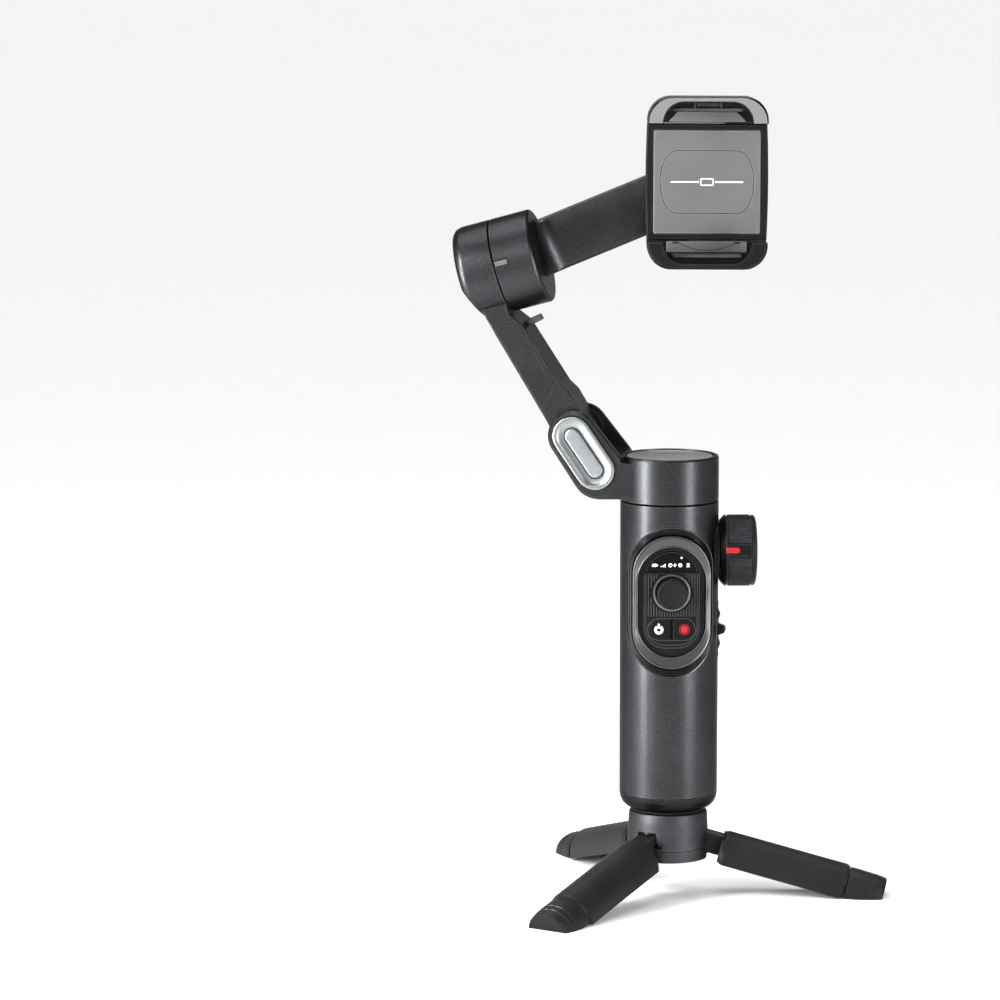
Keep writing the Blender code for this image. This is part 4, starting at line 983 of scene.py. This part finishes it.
for node_name in ("handle_front_shell", "handle_rear_shell", "handle_bottom_cap",
                  "tripod_hub_upper", "tripod_hub_lower"):
    refined(node_name, "handle")
for node_name, body_name in (("pan_housing", "pan_head"), ("arm1_shell", "lower_arm"),
                             ("arm2_shell", "upper_arm"), ("roll_motor_cover", "upper_arm"),
                             ("clamp_frame", "clamp"), ("upper_jaw", "upper_jaw"),
                             ("lower_jaw", "lower_jaw"), ("leg_1", "leg_1"),
                             ("leg_2", "leg_2"), ("leg_3", "leg_3")):
    refined(node_name, body_name)
build_panel()
build_knob()
build_slider()
build_head()
build_arms()
build_clamp()
build_hub()
build_legs()


# ---------------------------------------------------------------- stage

FLOOR_REACH = 14.0
FLOOR_STEPS = 24
SUN_STRENGTH = 2.75
SUN_ANGLE = math.radians(60.0)
SUN_TILT = (math.radians(-10.0), math.radians(-8.0), 0.0)
CAMERA_TURN = math.radians(3.5)
CAMERA_DISTANCE = 2.0
CAMERA_HEIGHT = 0.448
SIGHT_HEIGHT = 0.162
CAMERA_LENS_MM = 179.064
SENSOR_MM = 36.0
AIM_OFFSET = math.radians(1.9713)


def area_light(name, location, target, size, energy, colour=(1.0, 1.0, 1.0)):
    light = bpy.data.lights.new(name, "AREA")
    light.shape = "RECTANGLE"
    light.size, light.size_y = size
    light.energy = energy
    light.color = colour
    lamp = bpy.data.objects.new(name, light)
    lamp.location = location
    direction = Vector(target) - Vector(location)
    lamp.rotation_euler = direction.to_track_quat("-Z", "Y").to_euler()
    lamp.visible_camera = False
    bpy.context.scene.collection.objects.link(lamp)


def build_stage():
    bm = bmesh.new()
    lines = [-FLOOR_REACH + 2.0 * FLOOR_REACH * i / FLOOR_STEPS for i in range(FLOOR_STEPS + 1)]
    rows = [[bm.verts.new((x, y, 0.0)) for x in lines] for y in lines]
    for low, high in zip(rows, rows[1:]):
        for j in range(FLOOR_STEPS):
            bm.faces.new((low[j], low[j + 1], high[j + 1], high[j]))
    mesh = bpy.data.meshes.new("floor")
    bm.to_mesh(mesh)
    bm.free()
    floor = bpy.data.objects.new("floor", mesh)
    mesh.materials.append(finish("floor_paper", (0.86, 0.86, 0.86), 0.012, 0.0, (0.7, 0.8),
                                 300.0, 0.05, specular=0.2))
    bpy.context.scene.collection.objects.link(floor)

    area_light("left_strip", (-0.56, -0.28, 0.28), (0, 0, 0.2), (0.13, 0.62), 14.0)
    area_light("right_strip", (0.42, -0.42, 0.24), (0, 0, 0.2), (0.09, 0.5), 4.2)
    area_light("key_softbox", (-0.6, -1.5, 1.0), (0, 0, 0.2), (0.6, 0.6), 6.0)
    sun = bpy.data.lights.new("overhead", "SUN")
    sun.energy = SUN_STRENGTH
    sun.angle = SUN_ANGLE
    lamp = bpy.data.objects.new("overhead", sun)
    lamp.rotation_euler = SUN_TILT
    bpy.context.scene.collection.objects.link(lamp)

    world = bpy.data.worlds.new("studio")
    world.use_nodes = True
    tree = world.node_tree
    background = tree.nodes["Background"]
    coords = tree.nodes.new("ShaderNodeTexCoord")
    split = tree.nodes.new("ShaderNodeSeparateXYZ")
    tree.links.new(coords.outputs["Generated"], split.inputs["Vector"])
    band = spread(tree, split.outputs["Z"], 0.86, 0.2, 0.12, 0.32)
    background.inputs["Color"].default_value = (0.98, 0.99, 1.0, 1.0)
    tree.links.new(band, background.inputs["Strength"])
    bpy.context.scene.world = world


def build_camera():
    place = Vector((-CAMERA_DISTANCE * math.sin(CAMERA_TURN),
                    -CAMERA_DISTANCE * math.cos(CAMERA_TURN), CAMERA_HEIGHT))
    sight = Vector((0.0, 0.0, SIGHT_HEIGHT)) - place
    level = math.hypot(sight.x, sight.y)
    heading = math.atan2(sight.x, sight.y) - AIM_OFFSET
    pitch = math.atan(sight.z / level)
    camera = bpy.data.cameras.new("camera")
    camera.sensor_width = SENSOR_MM
    camera.lens = CAMERA_LENS_MM
    eye = bpy.data.objects.new("camera", camera)
    eye.location = place
    eye.rotation_euler = (math.pi / 2.0 + pitch, 0.0, -heading)
    bpy.context.scene.collection.objects.link(eye)
    bpy.context.scene.camera = eye


build_stage()
build_camera()
bpy.context.scene.view_settings.view_transform = "Standard"
